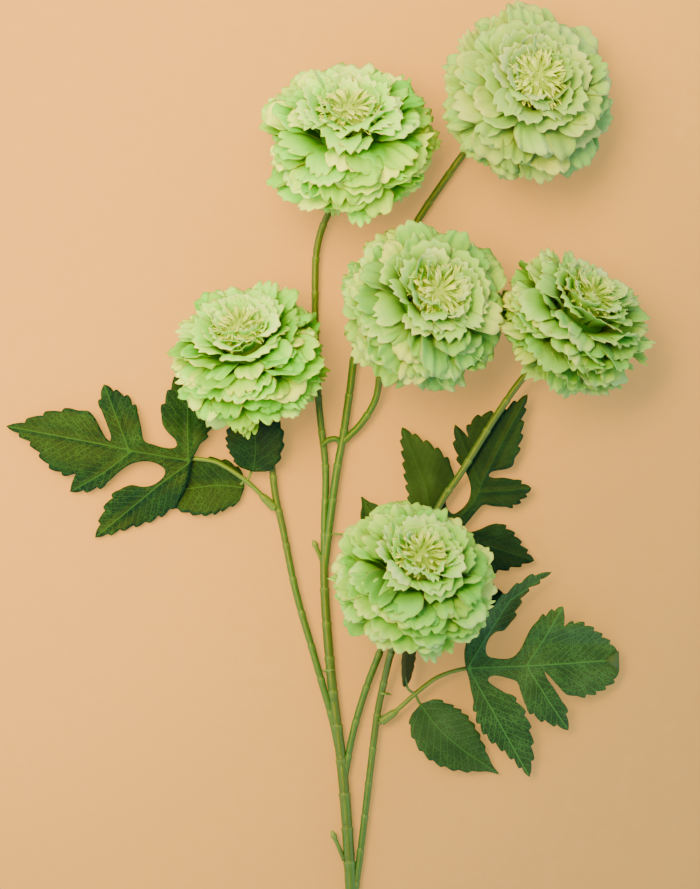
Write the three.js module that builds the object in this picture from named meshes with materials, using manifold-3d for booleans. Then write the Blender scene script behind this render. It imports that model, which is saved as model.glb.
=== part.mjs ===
// An artificial pompon chrysanthemum spray, lying on its back: six cloth pompon blooms and three
// leaf groups on a jointed, moulded stem.
// Millimetres. +Z is up from the surface it lies on, +Y runs from the cut end to the blooms, and
// +X is to the right. Places and routes are in a layout whose origin lies beside the fork; the
// spray is moved by LAYOUT_MIDDLE at the end, so that the origin is under the middle of its box.

import * as THREE from "three";
import { mergeVertices } from "three/addons/utils/BufferGeometryUtils.js";
import Module from "manifold-3d";

const wasm = await Module();
wasm.setup();

// ---------------------------------------------------------------- driving dimensions

const LAYOUT_MIDDLE = [-6.7, -51.7]; // middle of the spray's box in the layout
const GAP = 0.35; // clearance between neighbouring pieces
const SURFACE = 0; // height of the surface that the spray rests on
const FLATNESS = 0.03; // corners closer than this to a flat face are left out

// Blooms: the middle of the ball, the way its face leans, the lean from upright and the size.
const BLOOMS = [
  { at: [-0.4, 119.8, 30.6], lean: [0.02, 1], tilt: 44, size: 1 },
  { at: [70.8, 139.8, 28.6], lean: [0.55, 0.84], tilt: 27, size: 1 },
  { at: [-40.8, 35, 29.2], lean: [-0.24, 0.97], tilt: 38, size: 0.95 },
  { at: [28.8, 54.6, 37], lean: [0.76, 0.65], tilt: 30, size: 0.95 },
  { at: [92.4, 47.4, 30.4], lean: [0.6, 0.8], tilt: 55, size: 0.92 },
  { at: [25.6, -54.2, 42], lean: [0.3, 0.95], tilt: 40, size: 0.95 },
];

// Petal tiers of a size 1 bloom, from the underside to the centre. Each petal runs from its root
// over its bend to its tip, all as [radius, height] from the ball's middle.
const TIERS = [
  { petals: 5, root: [10, -9], bend: [23, -8], tip: [26.5, -20], half: 10.4 },
  { petals: 8, root: [13, -6.5], bend: [28, -3], tip: [31.5, -13], half: 9.4 },
  { petals: 8, root: [14, -3], bend: [31.5, 3], tip: [34.5, -5.5], half: 9.8 },
  { petals: 8, root: [14, 1], bend: [31.5, 10], tip: [35, 2.5], half: 9.8 },
  { petals: 7, root: [13, 5], bend: [28.5, 17], tip: [33.5, 10.5], half: 9.6 },
  { petals: 6, root: [12.5, 8], bend: [21.5, 20.5], tip: [27, 19], half: 8.8 },
  { petals: 6, root: [12.5, 9.2], bend: [16, 17], tip: [19.5, 25], half: 7, toothed: true },
];
const PETAL_THICKNESS = 0.8;
const SMOOTH_PETAL = { columns: [-1, 1], stations: [0, 0.7, 1], widths: [0.36, 1, 0.62] };
const TOOTHED_PETAL = { columns: [-1, 0, 1], stations: [0, 0.55, 1], widths: [0.5, 0.95, 0.86] };
const TOOTH_DEPTH = 0.16; // share of a toothed petal's length between its points
const PETAL_SPREAD = { stretch: 0.04, drop: 1.1, width: 0.06, turn: 0.04 };
const CORE_PROFILE = [[8.6, -13.5], [15.5, -7], [16.6, 3], [14, 10.5]];
const BALL_SIDES = 9;
const SOCKET = { radius: 10.9, floor: 7.5, rim: 10.5 }; // the recess that holds the eye

// The eye: a plug in the socket with a tuft of narrow straps.
const EYE_PROFILE = [[10.4, 11], [0, 12.5]];
const STRAPS = 8;
const STRAP_TOP = [19, 23.5]; // tip heights of the outermost and the middle strap
const STRAP_ROOT = { reach: 7, height: 9, half: 1.7 };
const STRAP_TIP = { reach: 9.2, half: 2.6 };
const GOLDEN_TURN = 2.4; // radians from strap to strap

// The calyx cup under each bloom and the blind bore that takes the stem's end.
const CALYX = { top: -13.9, bottom: -23.6, rim: 8.4, neck: 3.4, waist: [4.4, -18.5], boreTop: -16.4 };
const STEM_END = -16.8; // height on the bloom's axis where its stem stops

// Moulded stems: a lip stands proud at every joint and the tube steps back in just past it.
const JOINT_PITCH = 14;
const LIP_SWELL = 1.14;
const LIP_STEP = 0.9;
const STEM_SIDES = 7;
const MAIN_RADII = [2.6, 1.6]; // at the cut end and at the fork
const BRANCH_RADIUS = 1.35;
const RIGHT_FORK_RADIUS = 1.55;

const MAIN_ROUTE = [
  [4, -278, 2.7], [2.6, -225, 2.75], [0.4, -177.8, 2.85], [-2, -142, 3.1], [-4, -122, 3.3],
  [-7, -98, 3.5], [-10, -62, 3.6], [-10.4, -44, 3.7],
];
const LEFT_FORK_ROUTE = [
  [-10.3, -50, 3.7], [-10.3, -32, 3.8], [-9.8, -10, 3.8], [-12.6, 18, 3.8], [-14, 56, 3.9],
  [-13, 80, 4.6], [-8.4, 93, 7.2],
];
const RIGHT_FORK_ROUTE = [
  [-10.3, -50, 3.7], [-8.2, -32, 4.2], [-5.2, -10, 4.6], [-2.8, 3, 4.8], [0, 22, 5],
  [2.8, 40, 5], [13, 64, 5], [26, 88, 5.2], [38, 106, 5], [49, 120.5, 4.2], [58, 127, 3.6],
];
const MIDDLE_BRANCH_ROUTE = [[-3.4, 0.5, 4.8], [4.6, 8.6, 5.6], [10.2, 18, 6.8], [12.8, 31, 9]];
const LEFT_BRANCH_ROUTE = [
  [-6.4, -115, 3.4], [-10.4, -98, 3.6], [-14.3, -85, 3.7], [-21.7, -59, 3.8], [-27.1, -33, 3.9],
  [-30, -20, 4], [-31.4, -8, 4.3], [-33.6, 6, 6.2],
];
const UPPER_BRANCH_ROUTE = [
  [-2, -131, 3.3], [1.2, -115, 3.6], [6.4, -98, 4], [12.1, -83, 5], [22.8, -54, 6.3],
  [36, -24, 7.8], [44, -12, 9.4], [60, 13.8, 13], [70.5, 24.6, 14.8],
];
const LOWER_BRANCH_ROUTE = [
  [0.6, -190, 2.9], [4.4, -162, 3.1], [8.1, -131, 3.7], [11, -108, 4.6], [13.2, -97, 6.6],
  [16.2, -84, 12],
];

// Pegs left on the moulding, bare or carrying a leaf group's sleeve.
const PEG_RADIUS = 0.85;
const BARE_PEGS = [
  { root: [-2.2, -167, 3], end: [-7.4, -155, 3.6] },
  { root: [-10.2, -49, 3.7], end: [-14.8, -38.4, 4.2] },
  { root: [-3.6, 0, 4.8], end: [-7.6, 3, 5] },
  { root: [3, 40.4, 5], end: [1.6, 46.6, 5.6] },
];
const COLLAR = { at: [-8, -90.6, 3.5], radius: 2.5, height: 1.8 };

// Leaf groups: each sleeve pushed on a peg, its stalk, a lobed leaf and two leaflets.
const SLEEVE_RADIUS = 1.75;
const SLEEVE_LENGTH = 8;
const STALK_RADIUS = 0.95;
const ARM_RADIUS = 0.6;
const LEAF_THICKNESS = 0.8;
const SEAT = LEAF_THICKNESS / 2 + GAP + STALK_RADIUS; // stalk's axis below the leaf it carries

// A lobed leaf's margin from its base round by its left side: where each edge ends, where it
// bends and how many teeth it has. u runs along the midrib and v to the left.
const LEAF_BASE = [0, 0];
const LEAF_TIP = [76.7, 0];
const LEFT_EDGES = [
  { to: [32.4, 37.7], bend: [-1, 27], teeth: 6 },
  { to: [9.7, 5], bend: [33, 12], teeth: 4, back: true },
  { to: [20, 4.2], bend: [14, 1], teeth: 0 },
  { to: [42, 22], bend: [27, 17], teeth: 3 },
  { to: [41, 14], bend: [42, 18], teeth: 0 },
  { to: LEAF_TIP, bend: [57, 16], teeth: 6 },
];
const RIGHT_EDGES = [
  { to: [32, -3], bend: [43.6, -25], teeth: 6, back: true },
  { to: [39.5, -27], bend: [37.5, -13], teeth: 3 },
  { to: [19.5, -6], bend: [23, -26], teeth: 4, back: true },
  { to: [8.3, -4.6], bend: [14, -3], teeth: 0 },
  { to: [22.5, -45.5], bend: [30, -17], teeth: 5 },
  { to: LEAF_BASE, bend: [0, -30], teeth: 6, back: true },
];
const TOOTH_HEIGHT = 1.3;
const MIDRIB_STEPS = 6;
const FOLDED_LENGTH = 62; // where the right leaf's tip is folded over

// How each lobed leaf is bent, in millimetres of height unless an angle in degrees.
const LEFT_LEAF = { droopLeft: 4.4, droopRight: 6.7, tipDroop: 2.1, lobeSwing: -19.5 };
const RIGHT_LEAF = { lobe: [34, 37], roll: 62, lobeRise: 3.5, tipDroop: 4.5, droopRight: 4.5 };
const REAR_LEAF = { size: 0.96, rise: 0.085, fold: 0.02 };

// Leaflets: rows of points along the midrib and the widest half width.
const LEAFLET_ROWS = 8;
const LEAFLET_HALF = 10.8;
const LEAFLET_CUP = 0.11; // rise of the margin as a share of the half width

// Each group: the branch with its peg, the stalk, the arms to the leaflets and the leaves.
const GROUPS = [
  {
    name: "left",
    bloom: BLOOMS[2],
    route: LEFT_BRANCH_ROUTE,
    sleeve: { peg: [-28.6, -27, 3.9], mouth: [-33, -22.8, 4.6] },
    stalk: [[-38, -18.8, 5.2], [-44, -14.4, 5.6], [-54, -9.4, 5.6], [-63, -6.6, 5.4], [-69, -5.4, 5.2]],
    arms: [
      [[-44, -14.4, 5.4], [-46, -18, 3.2], [-52, -20.4, 2.3]],
      [[-42.6, -15.2, 5.5], [-41.8, -12, 5.6], [-41.4, -6, 7]],
    ],
    leaf: { base: [-63.4, -6.4, 5.5 + SEAT], heading: 169.6, shape: leftLeafShape },
    leaflets: [
      { route: [[-46.6, -18.4, 4.1], [-56, -21.6, 3.5], [-70, -26.4, 2.6], [-86, -32.4, 1.6]] },
      {
        route: [[-42, -10.6, 7.6], [-40.6, -2, 9.6], [-41.6, 6, 11.2], [-48, 13.6, 10.8], [-58, 19, 8.4]],
        roll: -6,
      },
    ],
  },
  {
    name: "right",
    bloom: BLOOMS[5],
    route: LOWER_BRANCH_ROUTE,
    sleeve: { peg: [11, -112.2, 4.4], mouth: [15.6, -109, 5.4] },
    stalk: [[20.5, -105, 6.6], [28.7, -97.8, 7.8], [35.6, -93, 8.4], [46.9, -89.6, 8.4], [54, -89.4, 8.3]],
    arms: [
      [[26.2, -100, 7.4], [27.8, -103.4, 6.8], [30.8, -106.2, 6]],
      [[26.2, -100, 7.4], [23.4, -97.4, 9.4], [22.5, -91, 11]],
    ],
    leaf: { base: [46.4, -89.6, 8.5 + SEAT], heading: 2, folded: true, shape: rightLeafShape },
    leaflets: [
      { route: [[27.7, -103, 8], [36, -111, 6.8], [47, -121, 4.6], [59.6, -132.6, 2.4]] },
      {
        route: [[24, -97, 11], [24.6, -86, 11.8], [27.4, -74, 11.6], [31.4, -60, 9.6]],
        roll: 74,
      },
    ],
  },
  {
    name: "rear",
    bloom: BLOOMS[4],
    route: UPPER_BRANCH_ROUTE,
    sleeve: { peg: [16.6, -69.4, 5.4], mouth: [20.4, -66, 4.6] },
    stalk: [[24.6, -58.6, 3.1], [27.4, -50, 2.3], [31.4, -39, 2.1], [34.8, -32, 2.3]],
    arms: [
      [[26.2, -54, 2.5], [22.6, -49.4, 1.4], [18, -43, 0.85]],
      [[26.2, -54, 2.5], [30, -54.4, 1.4], [37, -55, 0.7]],
    ],
    leaf: { base: [31.2, -37.1, 2.1 + SEAT], heading: 52.9, shape: rearLeafShape },
    leaflets: [
      { route: [[22.4, -49.4, 2.7], [16, -40, 2], [10, -30, 1.5], [4.2, -19.6, 1.2]] },
      { route: [[30, -54.4, 2.7], [40, -55.2, 1.8], [50, -56, 1.4], [66, -58.4, 1.2]] },
    ],
  },
];


// ---------------------------------------------------------------- solids

const vector = (p) => new THREE.Vector3(...p);
const mix = THREE.MathUtils.lerp;
const radians = THREE.MathUtils.degToRad;

// Repeatable draws between -1 and 1.
function seeded(seed) {
  let state = seed;
  return () => {
    state = (state * 1664525 + 1013904223) % 4294967296;
    return state / 2147483648 - 1;
  };
}

// A closed three.js geometry as a manifold-3d solid.
function solid(geometry) {
  const bare = geometry.clone();
  bare.deleteAttribute("normal");
  bare.deleteAttribute("uv");
  const merged = mergeVertices(bare, 1e-4);
  return new wasm.Manifold(
    new wasm.Mesh({
      numProp: 3,
      vertProperties: new Float32Array(merged.attributes.position.array),
      triVerts: new Uint32Array(merged.index.array),
    }),
  );
}

// A solid from its corner points and the corners of its faces.
function faceted(points, faces) {
  const geometry = new THREE.BufferGeometry().setFromPoints(points);
  geometry.setIndex(faces);
  return solid(geometry);
}

function joined(solids) {
  return solids.reduce((whole, piece) => whole.add(piece));
}

// The largest body of a solid, without the scraps that a cut leaves loose.
function largest(cut) {
  return cut.decompose().reduce((a, b) => (a.volume() > b.volume() ? a : b));
}

function moved(piece, matrix) {
  return piece.transform(matrix.toArray());
}

// A named node. Corners that lie flat on a face to within FLATNESS are left out.
function mesh(name, piece, material) {
  const made = piece.asOriginal().simplify(FLATNESS).getMesh();
  const geometry = new THREE.BufferGeometry();
  geometry.setAttribute("position", new THREE.BufferAttribute(made.vertProperties, 3));
  geometry.setIndex(new THREE.BufferAttribute(made.triVerts, 1));
  geometry.computeVertexNormals();
  const node = new THREE.Mesh(geometry, material);
  node.name = name;
  return node;
}

// A skin over rings of equally many points, each running anticlockwise about the way along.
function loft(rings) {
  const sides = rings[0].length;
  const last = (rings.length - 1) * sides;
  const faces = [];
  for (let start = 0; start < last; start += sides) {
    for (let i = 0; i < sides; i++) {
      const a = start + i;
      const b = start + ((i + 1) % sides);
      faces.push(a, b, b + sides, a, b + sides, a + sides);
    }
  }
  for (let i = 1; i + 1 < sides; i++) {
    faces.push(0, i + 1, i, last, last + i, last + i + 1);
  }
  return faceted(rings.flat(), faces);
}

// A thin blade: rows run outwards, the points of a row run to the left, and each point has a
// top and a bottom, so both faces are split into the same triangles.
function blade(rows) {
  const across = rows[0].length;
  const points = rows.flat().map((p) => p.top).concat(rows.flat().map((p) => p.bottom));
  const under = rows.length * across;
  const faces = [];
  const strip = (a, b) => faces.push(a, a + under, b + under, a, b + under, b);
  for (let i = 0; i + 1 < rows.length; i++) {
    for (let j = 0; j + 1 < across; j++) {
      const a = i * across + j;
      const c = a + across;
      faces.push(a, c, c + 1, a, c + 1, a + 1);
      faces.push(a + under, c + 1 + under, c + under, a + under, a + 1 + under, c + 1 + under);
    }
    strip(i * across, (i + 1) * across);
    strip((i + 2) * across - 1, (i + 1) * across - 1);
  }
  for (let j = 0; j + 1 < across; j++) {
    strip(j + 1, j);
    strip(under - across + j, under - across + j + 1);
  }
  return faceted(points, faces);
}

// The way along a path with the sideways and upward directions across it.
function frame(path, share) {
  const centre = path.getPointAt(share);
  const along = path.getTangentAt(share);
  const side = new THREE.Vector3(0, 0, 1).cross(along).normalize();
  const up = along.clone().cross(side);
  return { centre, side, up };
}

function ring(path, share, radius, sides = STEM_SIDES) {
  const { centre, side, up } = frame(path, THREE.MathUtils.clamp(share, 0, 1));
  return Array.from({ length: sides }, (_, i) => {
    const angle = (2 * Math.PI * i) / sides;
    return centre
      .clone()
      .addScaledVector(side, radius * Math.cos(angle))
      .addScaledVector(up, radius * Math.sin(angle));
  });
}

function smooth(route) {
  return new THREE.CatmullRomCurve3(route, false, "centripetal");
}

// A jointed stem along a route, its radius running from one end's to the other's.
function jointedStem(route, from, to, grown) {
  const path = smooth(route);
  const length = path.getLength();
  const joints = Math.round(length / JOINT_PITCH);
  const rings = [ring(path, 0, from + grown)];
  for (let joint = 1; joint < joints; joint++) {
    const share = joint / joints;
    const radius = mix(from, to, share);
    rings.push(ring(path, share, radius * LIP_SWELL + grown));
    rings.push(ring(path, share + LIP_STEP / length, radius + grown));
    if (joint + 2 >= joints) {
      rings.push(ring(path, share + 0.5 / joints, radius + grown));
    }
  }
  rings.push(ring(path, 1, to + grown));
  return loft(rings);
}

// A plain round rod along a route with the given radii from end to end.
function rod(route, radii, sides) {
  const path = smooth(route.map(vector));
  return loft(radii.map((radius, i) => ring(path, i / (radii.length - 1), radius, sides)));
}

// ---------------------------------------------------------------- blooms

// The frame of a bloom: its middle at the origin and its face along +Z.
function bloomMatrix({ at, lean, tilt, size }) {
  const level = new THREE.Vector3(lean[0], lean[1], 0).normalize();
  const axis = level.multiplyScalar(Math.sin(radians(tilt)));
  axis.z = Math.cos(radians(tilt));
  const turn = new THREE.Quaternion().setFromUnitVectors(new THREE.Vector3(0, 0, 1), axis);
  return new THREE.Matrix4().compose(vector(at), turn, new THREE.Vector3(size, size, size));
}

// A point on a bloom's axis.
function onAxis(bloom, height) {
  return new THREE.Vector3(0, 0, height).applyMatrix4(bloomMatrix(bloom));
}

function turned(radius, angle, height) {
  return new THREE.Vector3(radius * Math.cos(angle), radius * Math.sin(angle), height);
}

// One petal: a curved blade from the core, bent over to its tip.
function petal(tier, angle, draw) {
  const [root, bend, tip] = [tier.root, tier.bend, tier.tip].map((p) => new THREE.Vector2(...p));
  tip.multiplyScalar(1 + PETAL_SPREAD.stretch * draw());
  tip.y += PETAL_SPREAD.drop * draw();
  const path = new THREE.QuadraticBezierCurve(root, bend, tip);
  const half = tier.half * (1 + PETAL_SPREAD.width * draw());
  const { columns, stations, widths } = tier.toothed ? TOOTHED_PETAL : SMOOTH_PETAL;
  const rows = stations.map((station, row) =>
    columns.map((column) => {
      const notch = row === stations.length - 1 && column === 0 ? TOOTH_DEPTH : 0;
      const place = path.getPoint(station - notch);
      const along = path.getTangent(station - notch);
      const lateral = column * half * widths[row];
      const turn = angle + lateral / Math.max(place.x, half);
      const lift = PETAL_THICKNESS / 2;
      return {
        top: turned(place.x - along.y * lift, turn, place.y + along.x * lift),
        bottom: turned(place.x + along.y * lift, turn, place.y - along.x * lift),
      };
    }),
  );
  return blade(rows);
}

function lathe(profile, sides) {
  return solid(new THREE.LatheGeometry(profile.map((p) => new THREE.Vector2(...p)), sides).rotateX(
    Math.PI / 2,
  ));
}

// The core with every petal, open at the top for the eye.
function petalBall(seed) {
  const draw = seeded(seed);
  const { radius, floor, rim } = SOCKET;
  const profile = [[0, CORE_PROFILE[0][1]], ...CORE_PROFILE, [radius, rim], [radius, floor], [0, floor]];
  const petals = TIERS.flatMap((tier, level) =>
    Array.from({ length: tier.petals }, (_, i) => {
      const place = i + 0.5 * (level % 2) + PETAL_SPREAD.turn * draw();
      const angle = (2 * Math.PI * place) / tier.petals;
      return petal(tier, angle, draw);
    }),
  );
  return joined([lathe(profile, BALL_SIDES), ...petals]);
}

// The eye: a plug with a tuft of straps on it, the inner ones upright.
function eye(seed) {
  const draw = seeded(seed);
  const base = SOCKET.floor + GAP;
  const plug = lathe([[0, base], [EYE_PROFILE[0][0], base], ...EYE_PROFILE], BALL_SIDES);
  const straps = Array.from({ length: STRAPS }, (_, i) => {
    const angle = i * GOLDEN_TURN;
    const share = Math.sqrt((i + 0.5) / STRAPS);
    const top = mix(STRAP_TOP[1], STRAP_TOP[0], share) + draw();
    const ends = [STRAP_ROOT, { ...STRAP_TIP, height: top }];
    const rows = ends.map(({ reach: fullReach, height, half }) =>
      [-1, 1].map((column) => {
        const reach = share * fullReach;
        const turn = angle + (column * half) / Math.max(reach, STRAP_TIP.half);
        const lift = PETAL_THICKNESS / 2;
        return {
          top: turned(Math.max(reach - lift, 0.3), turn, height),
          bottom: turned(reach + lift, turn, height),
        };
      }),
    );
    return blade(rows);
  });
  return joined([plug, ...straps]);
}

// The calyx cup, with a blind bore up its middle.
function calyx() {
  const { top, bottom, rim, neck, waist, boreTop } = CALYX;
  const bore = BRANCH_RADIUS + 1.5 * GAP;
  const bored = [[0, boreTop], [bore, boreTop], [bore, bottom]];
  return lathe([...bored, [neck, bottom], waist, [rim, top], [0, top]], BALL_SIDES);
}

// ---------------------------------------------------------------- stems and pegs

function peg({ root, end }, grown) {
  const radius = PEG_RADIUS + grown;
  return rod([root, end], [radius, radius * 1.05, radius * 1.3], 6);
}

// Everything moulded with the main stem: the stem, its fork and its bare pegs.
function mainStem(grown) {
  const fork = (route, bloom, radius) =>
    jointedStem(intoBloom(route, bloom), radius, BRANCH_RADIUS, grown);
  const { at, radius, height } = COLLAR;
  const collar = [[...at], [at[0] - 0.1 * height, at[1] + height, at[2]]];
  return joined([
    jointedStem(MAIN_ROUTE.map(vector), ...MAIN_RADII, grown),
    fork(LEFT_FORK_ROUTE, BLOOMS[0], BRANCH_RADIUS),
    fork(RIGHT_FORK_ROUTE, BLOOMS[1], RIGHT_FORK_RADIUS),
    fork(MIDDLE_BRANCH_ROUTE, BLOOMS[3], BRANCH_RADIUS),
    rod(collar, [radius + grown, radius + grown], 8),
    ...BARE_PEGS.map((bare) => peg(bare, grown)),
  ]);
}

// A route with its last points on the bloom's axis.
function intoBloom(route, bloom) {
  const { bottom, top } = CALYX;
  const heights = [bottom - 1.5, (bottom + top) / 2 - 1, STEM_END];
  return [...route.map(vector), ...heights.map((height) => onAxis(bloom, height))];
}

// A side branch with the peg that carries a leaf group.
function branch({ route, bloom, sleeve }, grown) {
  const stem = jointedStem(intoBloom(route, bloom), BRANCH_RADIUS, BRANCH_RADIUS, grown);
  return stem.add(peg({ root: sleeve.peg, end: sleeve.mouth }, grown));
}

// ---------------------------------------------------------------- leaf groups

// The points of a margin with its teeth leaning to the lobe's tip.
function margin(start, edges) {
  const points = [];
  let from = new THREE.Vector2(...start);
  for (const { to, bend, teeth, back } of edges) {
    const end = new THREE.Vector2(...to);
    const curve = new THREE.QuadraticBezierCurve(from, new THREE.Vector2(...bend), end);
    for (let tooth = 0; tooth < teeth; tooth++) {
      const valley = tooth / teeth;
      const share = valley + (back ? 0.25 : 0.75) / teeth;
      const along = curve.getTangent(share);
      const peak = curve.getPoint(share);
      if (tooth > 0) {
        points.push(curve.getPoint(valley));
      }
      points.push(peak.add(new THREE.Vector2(-along.y, along.x).multiplyScalar(TOOTH_HEIGHT)));
    }
    if (teeth === 0) {
      points.push(curve.getPoint(0.5));
    }
    points.push(end);
    from = end;
  }
  return points;
}

// Flat triangles with each shared edge turned, one by one, to the fairer of its two diagonals.
function evened(points, triangles) {
  const faces = triangles.map((face) => [...face]);
  const way = (from, to) => points[to].clone().sub(points[from]);
  const area = (a, b, c) => way(a, b).cross(way(a, c));
  const angle = (at, a, b) => Math.abs(Math.atan2(area(at, a, b), way(at, a).dot(way(at, b))));
  const turnOne = () => {
    const owners = new Map();
    faces.forEach((face, f) => face.forEach((a, i) => owners.set(`${a} ${face[(i + 1) % 3]}`, f)));
    for (const [edge, f] of owners) {
      const [a, b] = edge.split(" ").map(Number);
      const g = owners.get(`${b} ${a}`);
      const c = faces[f].find((k) => k !== a && k !== b);
      const d = g === undefined ? c : faces[g].find((k) => k !== a && k !== b);
      const turns = c !== d && angle(c, a, b) + angle(d, a, b) > Math.PI + 1e-6;
      if (turns && area(a, d, c) > 0 && area(d, b, c) > 0) {
        faces[f] = [a, d, c];
        faces[g] = [d, b, c];
        return true;
      }
    }
    return false;
  };
  while (turnOne());
  return faces;
}

// A thin sheet over flat outlines that share an edge, lifted by a function of u and v.
function sheet(outlines, lift, thickness) {
  const flat = [];
  const keys = new Map();
  const indexOf = (p) => {
    const key = p.x.toFixed(3) + "," + p.y.toFixed(3);
    if (!keys.has(key)) {
      keys.set(key, flat.length);
      flat.push(p);
    }
    return keys.get(key);
  };
  const clipped = outlines.flatMap((outline) => {
    const ordered = THREE.ShapeUtils.isClockWise(outline) ? outline.toReversed() : outline;
    const split = THREE.ShapeUtils.triangulateShape(ordered, []);
    return split.map((face) => face.map((i) => indexOf(ordered[i])));
  });
  const triangles = evened(flat, clipped);
  const edges = new Set(triangles.flatMap(([a, b, c]) => [`${a} ${b}`, `${b} ${c}`, `${c} ${a}`]));
  const under = flat.length;
  const faces = triangles.flatMap(([a, b, c]) => [a, b, c, a + under, c + under, b + under]);
  for (const edge of edges) {
    const [a, b] = edge.split(" ").map(Number);
    if (!edges.has(`${b} ${a}`)) {
      faces.push(a + under, b + under, b, a + under, b, a);
    }
  }
  const raised = flat.map((p) => lift(p.x, p.y));
  const half = new THREE.Vector3(0, 0, thickness / 2);
  const tops = raised.map((p) => p.clone().add(half));
  const bottoms = raised.map((p) => p.clone().sub(half));
  return faceted([...tops, ...bottoms], faces);
}

// A lobed leaf: two halves that meet at the midrib.
function lobedLeaf({ base, heading, folded, shape }) {
  const tip = folded ? new THREE.Vector2(FOLDED_LENGTH, -1) : new THREE.Vector2(...LEAF_TIP);
  const start = new THREE.Vector2(...LEAF_BASE);
  const kept = (p) => p.x < tip.x - 0.5 && p.length() > 0.5;
  const left = margin(LEAF_BASE, LEFT_EDGES).filter(kept);
  const right = margin(LEAF_TIP, RIGHT_EDGES).filter(kept);
  const rib = Array.from({ length: MIDRIB_STEPS }, (_, i) =>
    start.clone().lerp(tip, (i + 1) / (MIDRIB_STEPS + 1)),
  );
  const outlines = [
    [start, ...left, tip, ...rib.toReversed()],
    [tip, ...right, start, ...rib],
  ];
  const place = new THREE.Matrix4().makeRotationZ(radians(heading)).setPosition(...base);
  const bent = (u, v) => shape(u, v).applyMatrix4(place);
  return sheet(outlines, bent, LEAF_THICKNESS);
}

// A share from 0 to 1 that eases in between two values.
const eased = (value, low, high) => THREE.MathUtils.smoothstep(value, low, high);

// The left leaf: its right basal lobe swings back and both droop to the surface.
function leftLeafShape(u, v) {
  const { droopLeft, droopRight, tipDroop, lobeSwing } = LEFT_LEAF;
  const swing = v < 0 ? radians(lobeSwing) * eased(-v - 0.6 * u, 2, 14) : 0;
  const point = new THREE.Vector3(u, v, 0).applyAxisAngle(new THREE.Vector3(0, 0, 1), swing);
  point.z = -(v < 0 ? droopRight : droopLeft) * eased(Math.abs(v), 8, 30);
  point.z -= tipDroop * eased(u, 30, LEAF_TIP[0]);
  return point;
}

// The right leaf: its left basal lobe is turned up almost on edge.
function rightLeafShape(u, v) {
  const { roll: fullRoll, lobeRise, tipDroop, droopRight } = RIGHT_LEAF;
  const lobe = new THREE.Vector2(...RIGHT_LEAF.lobe).normalize();
  const along = u * lobe.x + v * lobe.y;
  const across = v * lobe.x - u * lobe.y;
  const roll = radians(fullRoll) * eased(along, 10, 24) * eased(v - 0.58 * u, -0.5, 3.5);
  const narrow = across * Math.cos(roll);
  const point = new THREE.Vector3(along * lobe.x - narrow * lobe.y, along * lobe.y + narrow * lobe.x, 0);
  point.z = across * Math.sin(roll) + lobeRise * eased(along, 14, 45) * eased(v, 6, 16);
  point.z -= tipDroop * eased(u, 25, FOLDED_LENGTH) * (1 - eased(v, 6, 16));
  point.z -= droopRight * eased(-v, 10, 45);
  return point;
}

// The rear leaf rises along its midrib under the branch that crosses it.
function rearLeafShape(u, v) {
  const { size, rise, fold } = REAR_LEAF;
  return new THREE.Vector3(size * u, size * v, rise * u - fold * Math.abs(v));
}

// A small ovate leaf along a route, turned about its midrib by roll degrees.
function leaflet({ route, roll = 0 }) {
  const path = smooth(route.map(vector));
  const rows = Array.from({ length: LEAFLET_ROWS + 1 }, (_, i) => {
    const share = i / LEAFLET_ROWS;
    const { centre, side, up } = frame(path, share);
    const width = LEAFLET_HALF * Math.pow(Math.sin(Math.PI * Math.pow(share, 0.72)), 0.75);
    const toothed = width * (i % 2 ? 1.06 : 0.92) + 0.8;
    const across = side.clone().multiplyScalar(Math.cos(radians(roll)));
    across.addScaledVector(up, Math.sin(radians(roll)));
    const lift = up.clone().multiplyScalar(Math.cos(radians(roll)));
    lift.addScaledVector(side, -Math.sin(radians(roll)));
    lift.multiplyScalar(LEAF_THICKNESS / 2);
    return [-1, 0, 1].map((column) => {
      const middle = centre.clone().addScaledVector(across, column * toothed);
      middle.addScaledVector(lift, column ? LEAFLET_CUP * width : 0);
      return { top: middle.clone().add(lift), bottom: middle.clone().sub(lift) };
    });
  });
  return blade(rows);
}

// The sleeve and stalk with one thin arm to each leaflet.
function petiole({ sleeve, stalk, arms }, grown) {
  const mouth = vector(sleeve.mouth);
  const start = vector(sleeve.peg).lerp(mouth, 0.35);
  const way = mouth.clone().sub(start).normalize();
  const shoulder = start.clone().addScaledVector(way, SLEEVE_LENGTH);
  const tube = rod(
    [start.toArray(), shoulder.toArray()],
    [SLEEVE_RADIUS, SLEEVE_RADIUS * 0.92, STALK_RADIUS * 1.1].map((r) => r + grown),
    7,
  );
  const neck = start.clone().addScaledVector(way, SLEEVE_LENGTH - 1.5);
  const reach = rod([neck.toArray(), ...stalk], Array(7).fill(STALK_RADIUS + grown), 5);
  const spokes = arms.map((arm) => rod(arm, Array(3).fill(ARM_RADIUS + grown), 4));
  return joined([tube, reach, ...spokes]);
}

// ---------------------------------------------------------------- materials

const plain = (color, roughness) =>
  new THREE.MeshStandardMaterial({ color, roughness, metalness: 0, side: THREE.DoubleSide });
const PETAL_CLOTH = plain(0xb9d98a, 0.85);
const EYE_CLOTH = plain(0xc9dc84, 0.85);
const CALYX_PLASTIC = plain(0x8c5a34, 0.6);
const STEM_PLASTIC = plain(0x6f8e40, 0.5);
const STALK_PLASTIC = plain(0x8a9040, 0.5);
const LEAF_CLOTH = plain(0x38622a, 0.7);

// ---------------------------------------------------------------- the spray

const below = solid(
  new THREE.BoxGeometry(1000, 1000, 100).translate(0, 0, SURFACE - 50),
);

// What reaches the surface rests on small flats cut level with it.
const rested = (piece) => largest(piece.subtract(below));

const spray = new THREE.Group();
spray.position.set(-LAYOUT_MIDDLE[0], -LAYOUT_MIDDLE[1], 0);

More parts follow.
